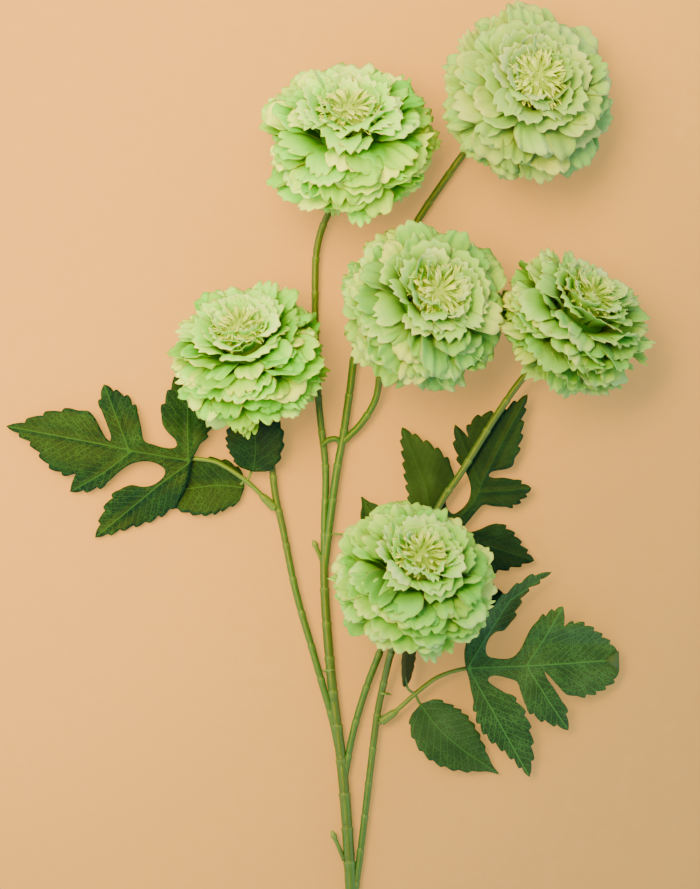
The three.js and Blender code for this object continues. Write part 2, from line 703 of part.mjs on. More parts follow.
const trunk = rested(mainStem(0));
const trunkRoom = mainStem(GAP);
spray.add(mesh("stem_main", trunk, STEM_PLASTIC));

for (const group of GROUPS) {
  const stem = rested(branch(group, 0).subtract(trunkRoom));
  const stalk = rested(petiole(group, 0).subtract(branch(group, GAP)));
  spray.add(mesh(`stem_${group.name}`, stem, STEM_PLASTIC));
  spray.add(mesh(`petiole_${group.name}`, stalk, STALK_PLASTIC));
  spray.add(mesh(`leaf_${group.name}`, rested(lobedLeaf(group.leaf)), LEAF_CLOTH));
  group.leaflets.forEach((small, i) => {
    const name = `leaflet_${group.name}_${"ab"[i]}`;
    spray.add(mesh(name, rested(leaflet(small)), LEAF_CLOTH));
  });
}

BLOOMS.forEach((bloom, i) => {
  const number = i + 1;
  const matrix = bloomMatrix(bloom);
  const head = new THREE.Group();
  matrix.decompose(head.position, head.quaternion, head.scale);
  const surface = moved(below, matrix.clone().invert());
  const petals = largest(petalBall(number * 7).subtract(surface));
  head.add(mesh(`bloom_${number}_petals`, petals, PETAL_CLOTH));
  head.add(mesh(`bloom_${number}_eye`, eye(number * 11), EYE_CLOTH));
  head.add(mesh(`bloom_${number}_calyx`, calyx(), CALYX_PLASTIC));
  spray.add(head);
});

export default spray;
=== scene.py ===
"""An artificial pompon chrysanthemum spray lying on a table: cloth blooms and leaves on moulded stems.

Lengths are millimetres in the spray's own layout, and piece() turns them to metres in the frame.
"""
import math

import bpy
import numpy as np
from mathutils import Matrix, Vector
from mathutils.geometry import delaunay_2d_cdt


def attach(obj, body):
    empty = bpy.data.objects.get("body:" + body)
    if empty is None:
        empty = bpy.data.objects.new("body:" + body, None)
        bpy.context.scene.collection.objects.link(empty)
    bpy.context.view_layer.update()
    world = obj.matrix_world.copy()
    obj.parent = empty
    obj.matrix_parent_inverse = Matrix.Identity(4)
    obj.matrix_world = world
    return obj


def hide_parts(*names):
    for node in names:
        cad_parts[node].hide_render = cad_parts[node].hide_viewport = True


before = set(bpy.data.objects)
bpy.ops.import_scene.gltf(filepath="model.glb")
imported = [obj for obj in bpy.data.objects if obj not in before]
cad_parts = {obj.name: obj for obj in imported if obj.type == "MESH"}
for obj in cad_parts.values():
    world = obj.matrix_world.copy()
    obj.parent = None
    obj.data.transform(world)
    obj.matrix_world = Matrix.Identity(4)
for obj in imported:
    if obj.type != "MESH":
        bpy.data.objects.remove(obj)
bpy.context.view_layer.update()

# ---------------------------------------------------------------- table, light and camera
# A light table covered with plain matt paper, its panel turned low so that shadows stay faint. A
# large warm soft box hangs at the upper left in a pale room, and the camera looks straight down.

MM = 0.001
LAYOUT_TO_FRAME = np.array([6.7, 51.7, 0.0])
TABLE_REACH = 3.0
PAPER_MOTTLE = 6.0
PANEL_GLOW = 0.96
CAMERA_HEIGHT = 2.5
FOCAL_LENGTH = 251.9
LONG_SENSOR = 36.0
SOFT_BOX_AT = Vector((-0.292, 0.384, 0.406))
SOFT_BOX_AIM = Vector((-0.198, 0.313, 0.0))
SOFT_BOX_SIDE = 0.75
SOFT_BOX_SPREAD = 56
SOFT_BOX_WATTS = 7.5
ROOM_LIGHT = 2.35


def to_linear(code):
    """A colour for a shader socket from its sRGB hex code."""
    parts = [int(code[i : i + 2], 16) / 255 for i in (1, 3, 5)]
    return [p / 12.92 if p <= 0.04045 else ((p + 0.055) / 1.055) ** 2.4 for p in parts] + [1.0]


def add(tree, kind, inputs=None, gives=0, stops=(), **settings):
    """A node with its settings, its ramp's stops, and its values and links, as the socket it gives."""
    made = tree.nodes.new("ShaderNode" + kind)
    for name, value in settings.items():
        setattr(made, name, value)
    for i, (position, code) in enumerate(stops):
        if i > 1:
            made.color_ramp.elements.new(position)
        made.color_ramp.elements[i].position = position
        made.color_ramp.elements[i].color = to_linear(code) if isinstance(code, str) else [code] * 3 + [1]
    for socket, value in (inputs or {}).items():
        if isinstance(value, bpy.types.NodeSocket):
            tree.links.new(value, made.inputs[socket])
        else:
            made.inputs[socket].default_value = value
    return made.outputs[gives] if made.outputs else None


def new_material(name):
    """A material and its empty node tree."""
    material = bpy.data.materials.new(name)
    material.use_nodes = True
    material.node_tree.nodes.clear()
    return material, material.node_tree


def put(name, data, place=(0.0, 0.0, 0.0)):
    """A new object of the scene at a place in metres."""
    made = bpy.data.objects.new(name, data)
    made.location = place
    bpy.context.scene.collection.objects.link(made)
    return made


# Uncoated sand-coloured paper: no gloss, a very faint fibre mottling some millimetres across, and
# a little light coming through it from the panel below.
matt_paper, tree = new_material("matt_paper")
place = add(tree, "TexCoord", gives="Object")
mottle = add(tree, "TexNoise", {"Vector": place, "Scale": 1 / (PAPER_MOTTLE * MM), "Detail": 4.0})
sand = add(tree, "ValToRGB", {"Fac": mottle}, stops=[(0.3, "#AC8748"), (0.7, "#AE894C")])
paper = add(tree, "BsdfPrincipled", {
    "Base Color": sand, "Roughness": 0.95, "Specular IOR Level": 0.1,
    "Emission Color": sand, "Emission Strength": PANEL_GLOW,
})
add(tree, "OutputMaterial", {"Surface": paper})

table_mesh = bpy.data.meshes.new("table_top")
corners = [(x * TABLE_REACH, y * TABLE_REACH, 0) for x, y in ((-1, -1), (1, -1), (1, 1), (-1, 1))]
table_mesh.from_pydata(corners, [], [(0, 1, 2, 3)])
table_mesh.materials.append(matt_paper)
put("table_top", table_mesh)

camera = bpy.data.cameras.new("camera")
camera.lens = FOCAL_LENGTH
camera.sensor_width = LONG_SENSOR
bpy.context.scene.camera = put("camera", camera, LAYOUT_TO_FRAME * MM + (0, 0, CAMERA_HEIGHT))

# A square soft box with a honeycomb grid, which keeps its light off the far side of the table.
soft_box = bpy.data.lights.new("gridded_box", "AREA")
soft_box.shape = "SQUARE"
soft_box.size = SOFT_BOX_SIDE
soft_box.spread = math.radians(SOFT_BOX_SPREAD)
soft_box.energy = SOFT_BOX_WATTS
soft_box.color = to_linear("#FFC830")[:3]
aimed = (SOFT_BOX_AIM - SOFT_BOX_AT).to_track_quat("-Z", "Y").to_euler()
put("gridded_box", soft_box, SOFT_BOX_AT).rotation_euler = aimed

# The room: pale walls all round and a dark gallery overhead, where the camera hangs.
room = bpy.data.worlds.new("pale_room")
room.use_nodes = True
tree = room.node_tree
tree.nodes.clear()
direction = add(tree, "TexCoord", gives="Generated")
height = add(tree, "SeparateXYZ", {"Vector": direction}, gives="Z")
walls = add(tree, "ValToRGB", {"Fac": height}, stops=[(0.0, 1.0), (0.35, 0.72), (0.65, 0.45), (1.0, 0.08)])
walls.node.color_ramp.interpolation = "EASE"
add(tree, "OutputWorld", {"Surface": add(tree, "Background", {"Color": walls, "Strength": ROOM_LIGHT})})
bpy.context.scene.world = room

# ---------------------------------------------------------------- stems
# The main stem with its fork, and three side branches: satin polythene moulded over wire in short
# lengths. A lip stands at every joint, where one shot of the mould ends and the next begins.

JOINT_PITCH = 14.0
RING_PITCH = 1.1
STEM_SIDES = 20
LIP_SWELL = 0.16
LIP_LENGTH = 3.4
STEP_LENGTH = 0.55
WAIST = 0.08
WAIST_LENGTH = 0.8
SEAM_HEIGHT = 0.07
UNEVENNESS = 0.012
MAIN_RADII = (2.75, 1.65)
BRANCH_RADIUS = 1.35
RIGHT_FORK_RADIUS = 1.55
FLOW_PATCH = 11.0
SKIN_GRAIN = 1.2
LOWEST = 0.03

MAIN_ROUTE = [
    (4, -278, 2.7), (2.6, -225, 2.75), (0.4, -177.8, 2.85), (-2, -142, 3.1), (-4, -122, 3.3),
    (-7, -98, 3.5), (-10, -62, 3.6), (-10.4, -44, 3.7),
]
LEFT_FORK_ROUTE = [
    (-10.3, -50, 3.7), (-10.3, -32, 3.8), (-9.8, -10, 3.8), (-12.6, 18, 3.8), (-14, 56, 3.9),
    (-13, 80, 4.6), (-8.4, 93, 7.2),
]
RIGHT_FORK_ROUTE = [
    (-10.3, -50, 3.7), (-8.2, -32, 4.2), (-5.2, -10, 4.6), (-2.8, 3, 4.8), (0, 22, 5), (2.8, 40, 5),
    (13, 64, 5), (26, 88, 5.2), (38, 106, 5), (49, 120.5, 4.2), (58, 127, 3.6),
]
MIDDLE_BRANCH_ROUTE = [(-3.4, 0.5, 4.8), (4.6, 8.6, 5.6), (10.2, 18, 6.8), (12.8, 31, 9)]
LEFT_BRANCH_ROUTE = [
    (-4.9, -121, 3.3), (-7.2, -110, 3.4), (-10.6, -98, 3.6), (-14.3, -85, 3.7), (-21.7, -59, 3.8),
    (-27.1, -33, 3.9), (-30, -20, 4), (-31.4, -8, 4.3), (-33.6, 6, 6.2),
]
UPPER_BRANCH_ROUTE = [
    (-2.9, -139, 3.2), (-1.2, -128, 3.3), (1.4, -115, 3.6), (6.4, -98, 4), (12.1, -83, 5),
    (22.8, -54, 6.3), (36, -24, 7.8), (44, -12, 9.4), (60, 13.8, 13), (70.5, 28, 15.4),
]
LOWER_BRANCH_ROUTE = [
    (0.6, -190, 2.9), (4.4, -162, 3.1), (8.1, -131, 3.7), (11, -108, 4.6), (13.2, -97, 6.6),
    (16.2, -84, 12),
]

# Blooms: the middle of the ball, the way its face leans, the lean from upright, the size, how far
# the dye has faded, and how far the upper petals part from the rosette.
BLOOM_TRAITS = ("at", "lean", "tilt", "size", "faded", "parting")
BLOOMS = [dict(zip(BLOOM_TRAITS, traits)) for traits in [
    ((-0.4, 120.3, 30.6), (0.02, 1), 44, 0.965, 0, 0.9),
    ((70.8, 138.8, 28.6), (0.55, 0.84), 25, 0.975, 0.75, 0.75),
    ((-40.4, 34.6, 29.2), (-0.24, 0.97), 48, 0.885, 0, 0.6),
    ((28.8, 54.6, 37), (0.76, 0.65), 30, 0.95, 0.5, 0.7),
    ((88, 47.4, 30.4), (0.6, 0.8), 60, 0.88, 0.5, 0.5),
    ((25.4, -53.6, 42), (0.3, 0.95), 42, 0.9, 0.25, 0.9),
]]
# Where a stem runs on a bloom's axis: just under the cup, in the cup's neck, and at the stem's end.
STEM_IN_BLOOM = (-25.1, -19.75, -16.8)


def unit(v):
    """The same directions with a length of one."""
    return v / np.maximum(np.linalg.norm(v, axis=-1, keepdims=True), 1e-9)


def smooth_path(points, per_span=48):
    """Dense points of a centripetal Catmull-Rom curve and the length up to each."""
    p = np.array(points, float)
    p = np.vstack([2 * p[0] - p[1], p, 2 * p[-1] - p[-2]])
    t = np.linspace(0, 1, per_span, endpoint=False)[:, None]
    spans = []
    for a, b, c, d in zip(p, p[1:], p[2:], p[3:]):
        ab, bc, cd = (max(np.linalg.norm(y - x) ** 0.5, 1e-4) for x, y in ((a, b), (b, c), (c, d)))
        start = ((b - a) / ab - (c - a) / (ab + bc) + (c - b) / bc) * bc
        end = ((c - b) / bc - (d - b) / (bc + cd) + (d - c) / cd) * bc
        rise = -3 * b + 3 * c - 2 * start - end
        spans.append(b + start * t + rise * t**2 + (2 * b - 2 * c + start + end) * t**3)
    dense = np.vstack(spans + [p[-2:-1]])
    return dense, np.r_[0, np.cumsum(np.linalg.norm(np.diff(dense, axis=0), axis=1))]


def at_shares(path, shares):
    """Points at shares of a path's length."""
    dense, lengths = path
    where = np.clip(shares, 0, 1) * lengths[-1]
    return np.stack([np.interp(where, lengths, line) for line in dense.T], -1)


def square_to(ways):
    """The level and the upward direction square to each way."""
    sides = unit(np.cross([0.0, 0.0, 1.0], ways))
    return sides, np.cross(ways, sides)


def along_path(path, shares):
    """Centres at shares of a path's length, with the sideways and the upward direction there."""
    ways = unit(at_shares(path, shares + 0.002) - at_shares(path, shares - 0.002))
    return at_shares(path, shares), *square_to(ways)


def ring_points(centres, sides, ups, radii, count):
    """Rings of points round centres. The radii are one per ring, or one per ring and point."""
    angles = (np.arange(count) * 2 * math.pi / count)[None, :, None]
    radii = np.broadcast_to(np.reshape(radii, (len(centres), -1)), (len(centres), count))[..., None]
    sides, ups = (np.broadcast_to(ways, centres.shape)[:, None] for ways in (sides, ups))
    return centres[:, None] + radii * (np.cos(angles) * sides + np.sin(angles) * ups)


def skin(rings, domed=0.35, **marks):
    """A closed tube over rings of points, its ends drawn in to a blunt point, with marks per ring."""
    rings = np.array(rings)
    count, sides = rings.shape[:2]
    middles = rings.mean(1)
    ends = []
    for i, j in ((0, 1), (-1, -2)):
        outward = unit(middles[i] - middles[j]) * np.linalg.norm(rings[i] - middles[i], axis=1).mean()
        ends.append(middles[i] + domed * outward)
    faces = []
    for r in range(count - 1):
        for i in range(sides):
            a, b = r * sides + i, r * sides + (i + 1) % sides
            faces.append((a, b, b + sides, a + sides))
    last = (count - 1) * sides
    for i in range(sides):
        faces.append((count * sides, (i + 1) % sides, i))
        faces.append((count * sides + 1, last + i, last + (i + 1) % sides))
    spread = {name: np.r_[np.repeat(v, sides), v[0], v[-1]] for name, v in marks.items()}
    return {"points": np.vstack([rings.reshape(-1, 3), ends]), "faces": faces, "marks": spread}


def joined(shapes):
    """Several shapes as one, with the marks that all of them carry."""
    points, faces, crisp, start = [], [], [], 0
    for shape in shapes:
        points.append(shape["points"])
        faces += [tuple(int(i) + start for i in face) for face in shape["faces"]]
        crisp += shape.get("crisp", [False] * len(shape["faces"]))
        start += len(shape["points"])
    names = set.intersection(*(set(shape["marks"]) for shape in shapes))
    marks = {n: np.concatenate([shape["marks"][n] for shape in shapes]) for n in sorted(names)}
    return {"points": np.vstack(points), "faces": faces, "marks": marks, "crisp": crisp}


def kept_above(height, points):
    """The points, with any that are lower than a height raised to it."""
    return np.maximum(points, (-np.inf, -np.inf, height))


def piece(name, shape, material, node):
    """The object made of a shape, in the frame's metres, which stands for a CAD node."""
    mesh = bpy.data.meshes.new(name)
    mesh.from_pydata((kept_above(LOWEST, shape["points"]) + LAYOUT_TO_FRAME) * MM, [], shape["faces"])
    mesh.polygons.foreach_set("use_smooth", [not flat for flat in shape["crisp"]])
    for mark, values in shape["marks"].items():
        kind, field = ("FLOAT_VECTOR", "vector") if values.ndim == 2 else ("FLOAT", "value")
        layer = mesh.attributes.new(mark, kind, "POINT")
        layer.data.foreach_set(field, values.astype(np.float32).ravel())
    mesh.materials.append(material)
    made = put(name, mesh)
    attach(made, "root")
    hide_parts(node)


def on_bloom(bloom, local):
    """Points from a bloom's own frame, whose upright axis comes out of its face, to the layout."""
    level = unit(np.array([*bloom["lean"], 0.0]))
    tilt = math.radians(bloom["tilt"])
    out = level * math.sin(tilt) + np.array([0, 0, math.cos(tilt)])
    turn = Vector((0, 0, 1)).rotation_difference(Vector(out)).to_matrix()
    return np.array(bloom["at"], float) + bloom["size"] * np.asarray(local, float) @ np.array(turn).T


def jointed_stem(route, start_radius, end_radius, seed):
    """A stem with a lip and a step at each joint, a moulding seam and a slightly uneven skin."""
    draw = np.random.default_rng(seed)
    path = smooth_path(route)
    length = path[1][-1]
    joints = round(length / JOINT_PITCH)
    at = np.arange(1, joints) / joints * length
    near = [-LIP_LENGTH, -0.4 * LIP_LENGTH, -0.25, 0, STEP_LENGTH, 2 * STEP_LENGTH]
    where = np.concatenate([np.arange(0, length, RING_PITCH), *(at + step for step in near), [length]])
    where = np.unique(np.clip(where, 0, length))
    gap = where[:, None] - at[None, :]
    up, down = np.clip(1 + gap / LIP_LENGTH, 0, 1) ** 2, np.clip(1 - gap / STEP_LENGTH, 0, 1)
    lip = np.where(gap <= 0, up, down).max(1)
    waist = np.exp(-(((gap - 1.6 * STEP_LENGTH) / WAIST_LENGTH) ** 2)).max(1)
    radius = start_radius + (end_radius - start_radius) * where / length
    radius = radius * (1 + LIP_SWELL * lip - WAIST * waist)
    radius = radius[:, None] * (1 + UNEVENNESS * draw.standard_normal((len(where), STEM_SIDES)))
    radius[:, [0, STEM_SIDES // 2]] += SEAM_HEIGHT
    rings = ring_points(*along_path(path, where / length), radius, STEM_SIDES)
    return skin(rings, 0.2, share=where / length, lip=lip)


def bloom_stem(route, bloom, radius, seed):
    """A jointed stem that ends on a bloom's axis, up in the cup."""
    ends = [on_bloom(bloom, (0, 0, height)) for height in STEM_IN_BLOOM]
    return jointed_stem([*route, *ends], radius, BRANCH_RADIUS, seed)


def rod(route, radii, count=14, steps=26, tone=0.5, domed=0.35):
    """A plain round rod along a route, with radii that run evenly from end to end."""
    shares = np.linspace(0, 1, steps)
    radius = np.interp(shares, np.linspace(0, 1, len(radii)), radii)
    rings = ring_points(*along_path(smooth_path(route), shares), radius, count)
    return skin(rings, domed, share=np.full(steps, tone), lip=np.zeros(steps))


# Satin polythene, moulded: a soft wide gloss, lighter and yellower on the lips as a painted
# highlight where they stand out to the light, browner towards the blooms, with cloudy flow marks
# and a fine grain in the skin.
satin_polythene, tree = new_material("satin_polythene")
place = add(tree, "TexCoord", gives="Object")
share, lip = (add(tree, "Attribute", gives="Fac", attribute_name=mark) for mark in ("share", "lip"))
patches = add(tree, "TexNoise", {"Vector": place, "Scale": 1 / (FLOW_PATCH * MM), "Detail": 3.0})
age = add(tree, "Math", {0: patches, 1: share}, operation="ADD")
body = add(tree, "ValToRGB", {"Fac": age}, stops=[
    (0.35, "#31682B"), (0.8, "#336628"), (1.0, "#386825"), (1.0, "#3A611F"),
])
# Painted highlight: the lips take a share of a lighter colour; the pegs' heads and the flash, which carry
# larger lip marks, take more of it.
lip_highlight_share = add(tree, "Math", {0: lip, 1: 0.25}, operation="MULTIPLY")
# Two colours are mixed by the colour sockets of a Mix node, and its third output gives the result.
COLOURS = {"gives": 2, "data_type": "RGBA"}
stem_colour = add(tree, "Mix", {0: lip_highlight_share, 6: body, 7: to_linear("#6E9A4A")}, **COLOURS)
grain = add(tree, "TexNoise", {"Vector": place, "Scale": 1 / (SKIN_GRAIN * MM), "Detail": 5.0})
grain_bump = add(tree, "Bump", {"Height": grain, "Strength": 0.25, "Distance": 0.2 * MM})
stem_plastic = add(tree, "BsdfPrincipled", {
    "Base Color": stem_colour, "Roughness": 0.42, "IOR": 1.51, "Normal": grain_bump,
    "Subsurface Weight": 0.12, "Subsurface Radius": (0.4, 1.0, 0.2), "Subsurface Scale": 1 * MM,
})
add(tree, "OutputMaterial", {"Surface": stem_plastic})

# A peg's radius at shares of its length, with a barb near its head.
PEG_PROFILE = [(0, 1.0), (0.45, 0.84), (0.72, 0.86), (0.8, 1.25), (0.86, 1.2), (0.95, 0.8), (1.0, 0.35)]
FLASH_POINTS = 28
FLASH_WHISKERS = 4
FLASH_HEIGHTS = (-0.45, -0.12, 0.12, 0.45)


def peg(root, end):
    """A moulded peg: it widens to a barbed head with a blunt nose."""
    root, end = np.array([root, end], float)
    shares, radii = np.array(PEG_PROFILE).T
    rings = ring_points(root + shares[:, None] * (end - root), *square_to(unit(end - root)), radii, 14)
    return skin(rings, 0.3, share=np.full(len(radii), 0.55), lip=np.linspace(0.5, 3, len(radii)))


def flash_ring(centre, way, radius, seed):
    """A torn ring of moulding flash round a stem, with a few whiskers left on it."""
    draw = np.random.default_rng(seed)
    way = unit(np.array(way, float))
    edge = radius + 0.25 + 0.25 * draw.random(FLASH_POINTS)
    whiskers = draw.choice(FLASH_POINTS, FLASH_WHISKERS, replace=False)
    edge[whiskers] += 0.9 + 1.4 * draw.random(FLASH_WHISKERS)
    base = np.full(FLASH_POINTS, radius * 0.9)
    centres = np.array(centre, float) + np.array(FLASH_HEIGHTS)[:, None] * way
    rings = ring_points(centres, *square_to(way), np.array([base, edge, edge, base]), FLASH_POINTS)
    return skin(rings, 0.0, share=np.full(4, 0.2), lip=np.full(4, 2.6))


main_stem = joined([
    jointed_stem(MAIN_ROUTE, *MAIN_RADII, 1),
    bloom_stem(LEFT_FORK_ROUTE, BLOOMS[0], BRANCH_RADIUS, 2),
    bloom_stem(RIGHT_FORK_ROUTE, BLOOMS[1], RIGHT_FORK_RADIUS, 3),
    bloom_stem(MIDDLE_BRANCH_ROUTE, BLOOMS[3], BRANCH_RADIUS, 4),
    peg((-2.2, -167, 3), (-7.4, -155, 3.6)),
    peg((-10.2, -49, 3.7), (-14.8, -38.4, 4.2)),
    rod([(-3.6, 0, 4.8), (-5.6, 2.2, 5), (-9, 1.6, 5.1), (-11.4, -0.6, 5)], [0.9, 1.15, 1.2, 0.9], tone=0.0),
    peg((3, 40.4, 5), (1.6, 46.6, 5.6)),
    flash_ring((-8, -90.6, 3.5), (-0.1, 1, 0), 1.9, 5),
    flash_ring((-4.6, -36, 4.1), (0.1, 1, 0), 1.5, 6),
])
piece("main_stem", main_stem, satin_polythene, "stem_main")

# Each side stem's route and bloom, and the root and end of the peg for its leaf group.
SIDE_STEMS = {
    "left": (LEFT_BRANCH_ROUTE, BLOOMS[2]),
    "right": (LOWER_BRANCH_ROUTE, BLOOMS[5]),
    "rear": (UPPER_BRANCH_ROUTE, BLOOMS[4]),
}
LEAF_PEGS = {
    "left": ((-28.6, -27, 3.9), (-33, -22.8, 4.6)),
    "right": ((11, -112.2, 4.4), (15.6, -109, 5.4)),
    "rear": ((16.6, -69.4, 5.4), (20.4, -66, 4.6)),
}
for seed, (name, (route, bloom)) in enumerate(SIDE_STEMS.items(), 11):
    shapes = [bloom_stem(route, bloom, BRANCH_RADIUS, seed), rod(LEAF_PEGS[name], [0.85, 0.95])]
    if name == "right":
        shapes.append(flash_ring((13.4, -99.6, 6.3), (0.2, 0.9, 0.2), 1.35, 7))
    piece(f"side_stem_{name}", joined(shapes), satin_polythene, f"stem_{name}")

# ---------------------------------------------------------------- leaf stalks
# Each leaf group's stalk is a soft polythene sleeve pushed over a peg of the stem. It narrows to
# a thin round stalk that the lobed leaf is glued on, with one thinner arm to each leaflet.

SLEEVE_RADII = (1.82, 1.75, 1.645, 1.575)
SLEEVE_LENGTH = 8.0
STALK_RADIUS = 0.95
ARM_RADIUS = 0.6
STALK_PATCH = 9.0

STALKS = {
    "left": (
        [(-38, -17.8, 5.2), (-44, -12.8, 5.6), (-54, -7, 5.6), (-63, -5.6, 5.4), (-69, -5, 5.2)],
        [
            [(-42, -14.6, 5.4), (-44.6, -16.2, 3.2), (-50, -16, 2.3)],
            [(-41.6, -14.8, 5.5), (-40, -12, 5.6), (-38.8, -6, 7)],
        ],
    ),
    "right": (
        [(20.5, -105, 6.6), (28.7, -97.8, 7.8), (35.6, -93, 8.4), (46.9, -89.6, 8.4), (54, -89.4, 8.3)],
        [
            [(26.2, -100, 7.4), (27.8, -103.4, 6.8), (30.8, -106.2, 6)],
            [(26.2, -100, 7.4), (23.4, -98, 9.4), (21.8, -93, 10.9)],
        ],
    ),
    "rear": (
        [(24.6, -58.6, 3.1), (27.4, -50, 2.3), (31.4, -39, 2.1), (34.8, -32, 2.3)],
        [
            [(26.2, -54, 2.5), (22.6, -49.4, 1.4), (18, -43, 0.85)],
            [(26.2, -54, 2.5), (30, -54.4, 1.4), (37, -55, 0.7)],
        ],
    ),
}

# Soft polythene, moulded: yellower than the stems and a little see-through at the thin arms.
soft_polythene, tree = new_material("soft_polythene")
place = add(tree, "TexCoord", gives="Object")
patches = add(tree, "TexNoise", {"Vector": place, "Scale": 1 / (STALK_PATCH * MM), "Detail": 3.0})
stalk_colour = add(tree, "ValToRGB", {"Fac": patches}, stops=[(0.3, "#467026"), (0.7, "#537C33")])
stalk_plastic = add(tree, "BsdfPrincipled", {
    "Base Color": stalk_colour, "Roughness": 0.45, "IOR": 1.51,
    "Subsurface Weight": 0.2, "Subsurface Radius": (0.6, 0.8, 0.2), "Subsurface Scale": 1 * MM,
})
add(tree, "OutputMaterial", {"Surface": stalk_plastic})

for name, (route, arms) in STALKS.items():
    root, mouth = np.array(LEAF_PEGS[name], float)
    start = root * 0.65 + mouth * 0.35
    way = unit(mouth - start)
    sleeve = rod([start, start + way * SLEEVE_LENGTH], [*SLEEVE_RADII, STALK_RADIUS], domed=0.1)
    neck = start + way * (SLEEVE_LENGTH - 1.5)
    stalk = rod([neck, *route], [STALK_RADIUS, STALK_RADIUS * 0.9], steps=48)
    thin_arms = [rod(arm, [ARM_RADIUS, ARM_RADIUS * 0.85], count=10) for arm in arms]
    shape = joined([sleeve, stalk, *thin_arms])
    piece(f"leaf_stalk_{name}", shape, soft_polythene, f"petiole_{name}")

# ---------------------------------------------------------------- lobed leaves
# Stamped from polyester cloth that is printed dark green with a yellow-green net of veins, coated
# for a waxy sheen, and pressed hot between dies so that the ribs stand in low relief.

LEAF_THICKNESS = 0.3
LEAF_GRID = 1.15
MARGIN_STEP = 1.0
TOOTH_STEPS = 8
TOOTH_HEIGHT = 1.35
TOOTH_CREST = 0.8
SEAT = 0.4 + 0.35 + STALK_RADIUS
OFF_TABLE = 0.2
# Side veins of the print: the pitch along a rib, and how they slant and bend away from it.
LEAF_VEINS = (3.7, 1.35, 0.012)
VEIN_CELL = 1.3
VIEW_PIXEL = 0.4
VIEW_MIDDLE = (350, 444.5)
# Each leaf's margin from its root round by its left side. An edge has its teeth, the share of it
# that is plain, and the points that it runs through, in pixels of the camera's view, which are
# VIEW_PIXEL millimetres wide. Its teeth point to its end, or with a minus sign to its start.
LEAF_OUTLINES = {
    "left": [
        (7, 0.3, [(189, 473), (186, 484), (181, 495), (170, 508), (150, 519.5), (125, 527.5), (94, 538)]),
        (-4, 0, [(100, 523), (104, 511), (112, 498), (122, 488)]),
        (0, 0, [
            (131, 485), (142, 487), (151, 485.5), (159, 481), (164, 475), (164.5, 470), (160, 465.5),
            (151, 462), (141, 461.5), (131, 464), (120, 471), (109, 481),
        ]),
        (3, 0, [(97, 487), (84, 490), (69, 492)]),
        (0, 0, [(71, 483), (75, 474)]),
        (6, 0, [(62, 472.5), (48, 464), (37, 450), (26, 438.5), (5, 426)]),
        (-4, 0, [(24, 422.5), (40, 416), (60, 411.5), (80, 410.5)]),
        (0, 0, [(88, 411), (94, 417), (101, 430), (106, 438.5), (109.5, 441)]),
        (0, 0, [(110.5, 437), (107, 426), (102, 413)]),
        (2, 0, [(100.5, 404), (101, 394), (103, 384)]),
        (-4, 0, [(115, 392.5), (126, 398), (133, 407), (138, 415)]),
        (0, 0, [
            (141, 428), (144, 441), (153, 444.5), (163, 447.5), (173, 448), (176.5, 445.5), (175, 440),
            (168, 433), (162.5, 425), (161, 418),
        ]),
        (5, 0, [(163, 408), (167, 397), (178, 375), (196, 352)]),
        (-8, 0.15, [(210, 370), (217, 392), (215, 413), (208, 430), (199, 446), (191.5, 460.5)]),
    ],
    "right": [
        (7, 0.15, [
            (464.5, 660), (465, 648), (472, 635), (484, 618), (499, 601), (515, 588), (532, 577),
            (552, 572),
        ]),
        (-5, 0, [(538, 581), (527, 589), (520, 600), (515, 612), (510, 625)]),
        (0, 0, [
            (504, 631), (496, 632.5), (489, 639), (486, 649), (488, 656), (497, 658.5), (507, 659),
            (514, 656.5), (520, 650), (526, 638), (531, 628), (537, 621),
        ]),
        (3, 0, [(549, 614), (563, 606)]),
        (0, 0, [(564.5, 616), (564, 626)]),
        (6, 0, [(578, 623.5), (592, 630), (603, 638.5), (612, 646), (618, 651)]),
        (0, 0, [(619.3, 661), (620, 671)]),
        (-5, 0, [(614, 680), (603, 688.5), (590, 694), (576, 696.5)]),
        (0, 0, [(567, 695), (558, 686), (550, 677), (544.5, 671.5)]),
        (0, 0, [(547, 678), (554, 688), (561, 699)]),
        (2, 0, [(566, 714), (569, 731)]),
        (-4, 0, [(555, 724), (541, 718.5), (531, 711), (525, 704)]),
        (0, 0, [
            (521, 693), (517, 682), (508, 678.5), (498, 676), (491, 676.5), (488, 680), (494, 686),
            (504, 692),
        ]),
        (6, 0, [(516, 702), (525, 717), (530, 735), (531.5, 757), (530, 778)]),
        (-8, 0.25, [
            (518, 763), (503, 749), (489, 737), (480, 723), (475, 706), (471, 690), (469, 679),
            (466, 668.5),
        ]),
    ],
    "rear": [
        (8, 0.2, [(421, 524), (413, 508), (409, 490), (406, 470), (404, 450), (402, 427)]),
        (-5, 0, [(417, 438), (431, 446), (443, 456), (452, 468)]),
        (0, 0, [
            (455, 479), (450, 490), (446, 500), (448, 509), (453, 514), (461, 510), (468.5, 501),
            (471, 490), (469, 479), (465, 470),
        ]),
        (3, 0, [(459, 457), (456, 442), (455, 424)]),
        (0, 0, [(462, 430), (468, 437)]),
        (6, 0, [(471, 424), (480, 417), (492, 413.5), (505, 410.5), (516, 403), (528, 394)]),
        (-5, 0, [(524.5, 406), (521.5, 418), (521, 432), (518, 447), (515, 459)]),
        (0, 0, [
            (513, 466), (507, 469), (498, 470.5), (491, 472.5), (489, 476), (494, 478), (503, 477.5),
            (512, 479),
        ]),
        (2, 0, [(522, 484), (532, 488)]),
        (-4, 0, [(523, 497), (515, 504), (505, 507)]),
        (0, 0, [
            (494, 506.5), (484, 505), (477, 511.5), (470, 520), (465, 527), (469, 532), (479, 530),
            (490, 525), (497, 523.5),
        ]),
        (5, 0, [(507, 529.5), (516, 538), (523, 548.5), (535, 561)]),
        (-8, 0.15, [(518, 565), (503, 569), (480, 572), (458, 563), (441, 550), (428, 537.2)]),
    ],
}
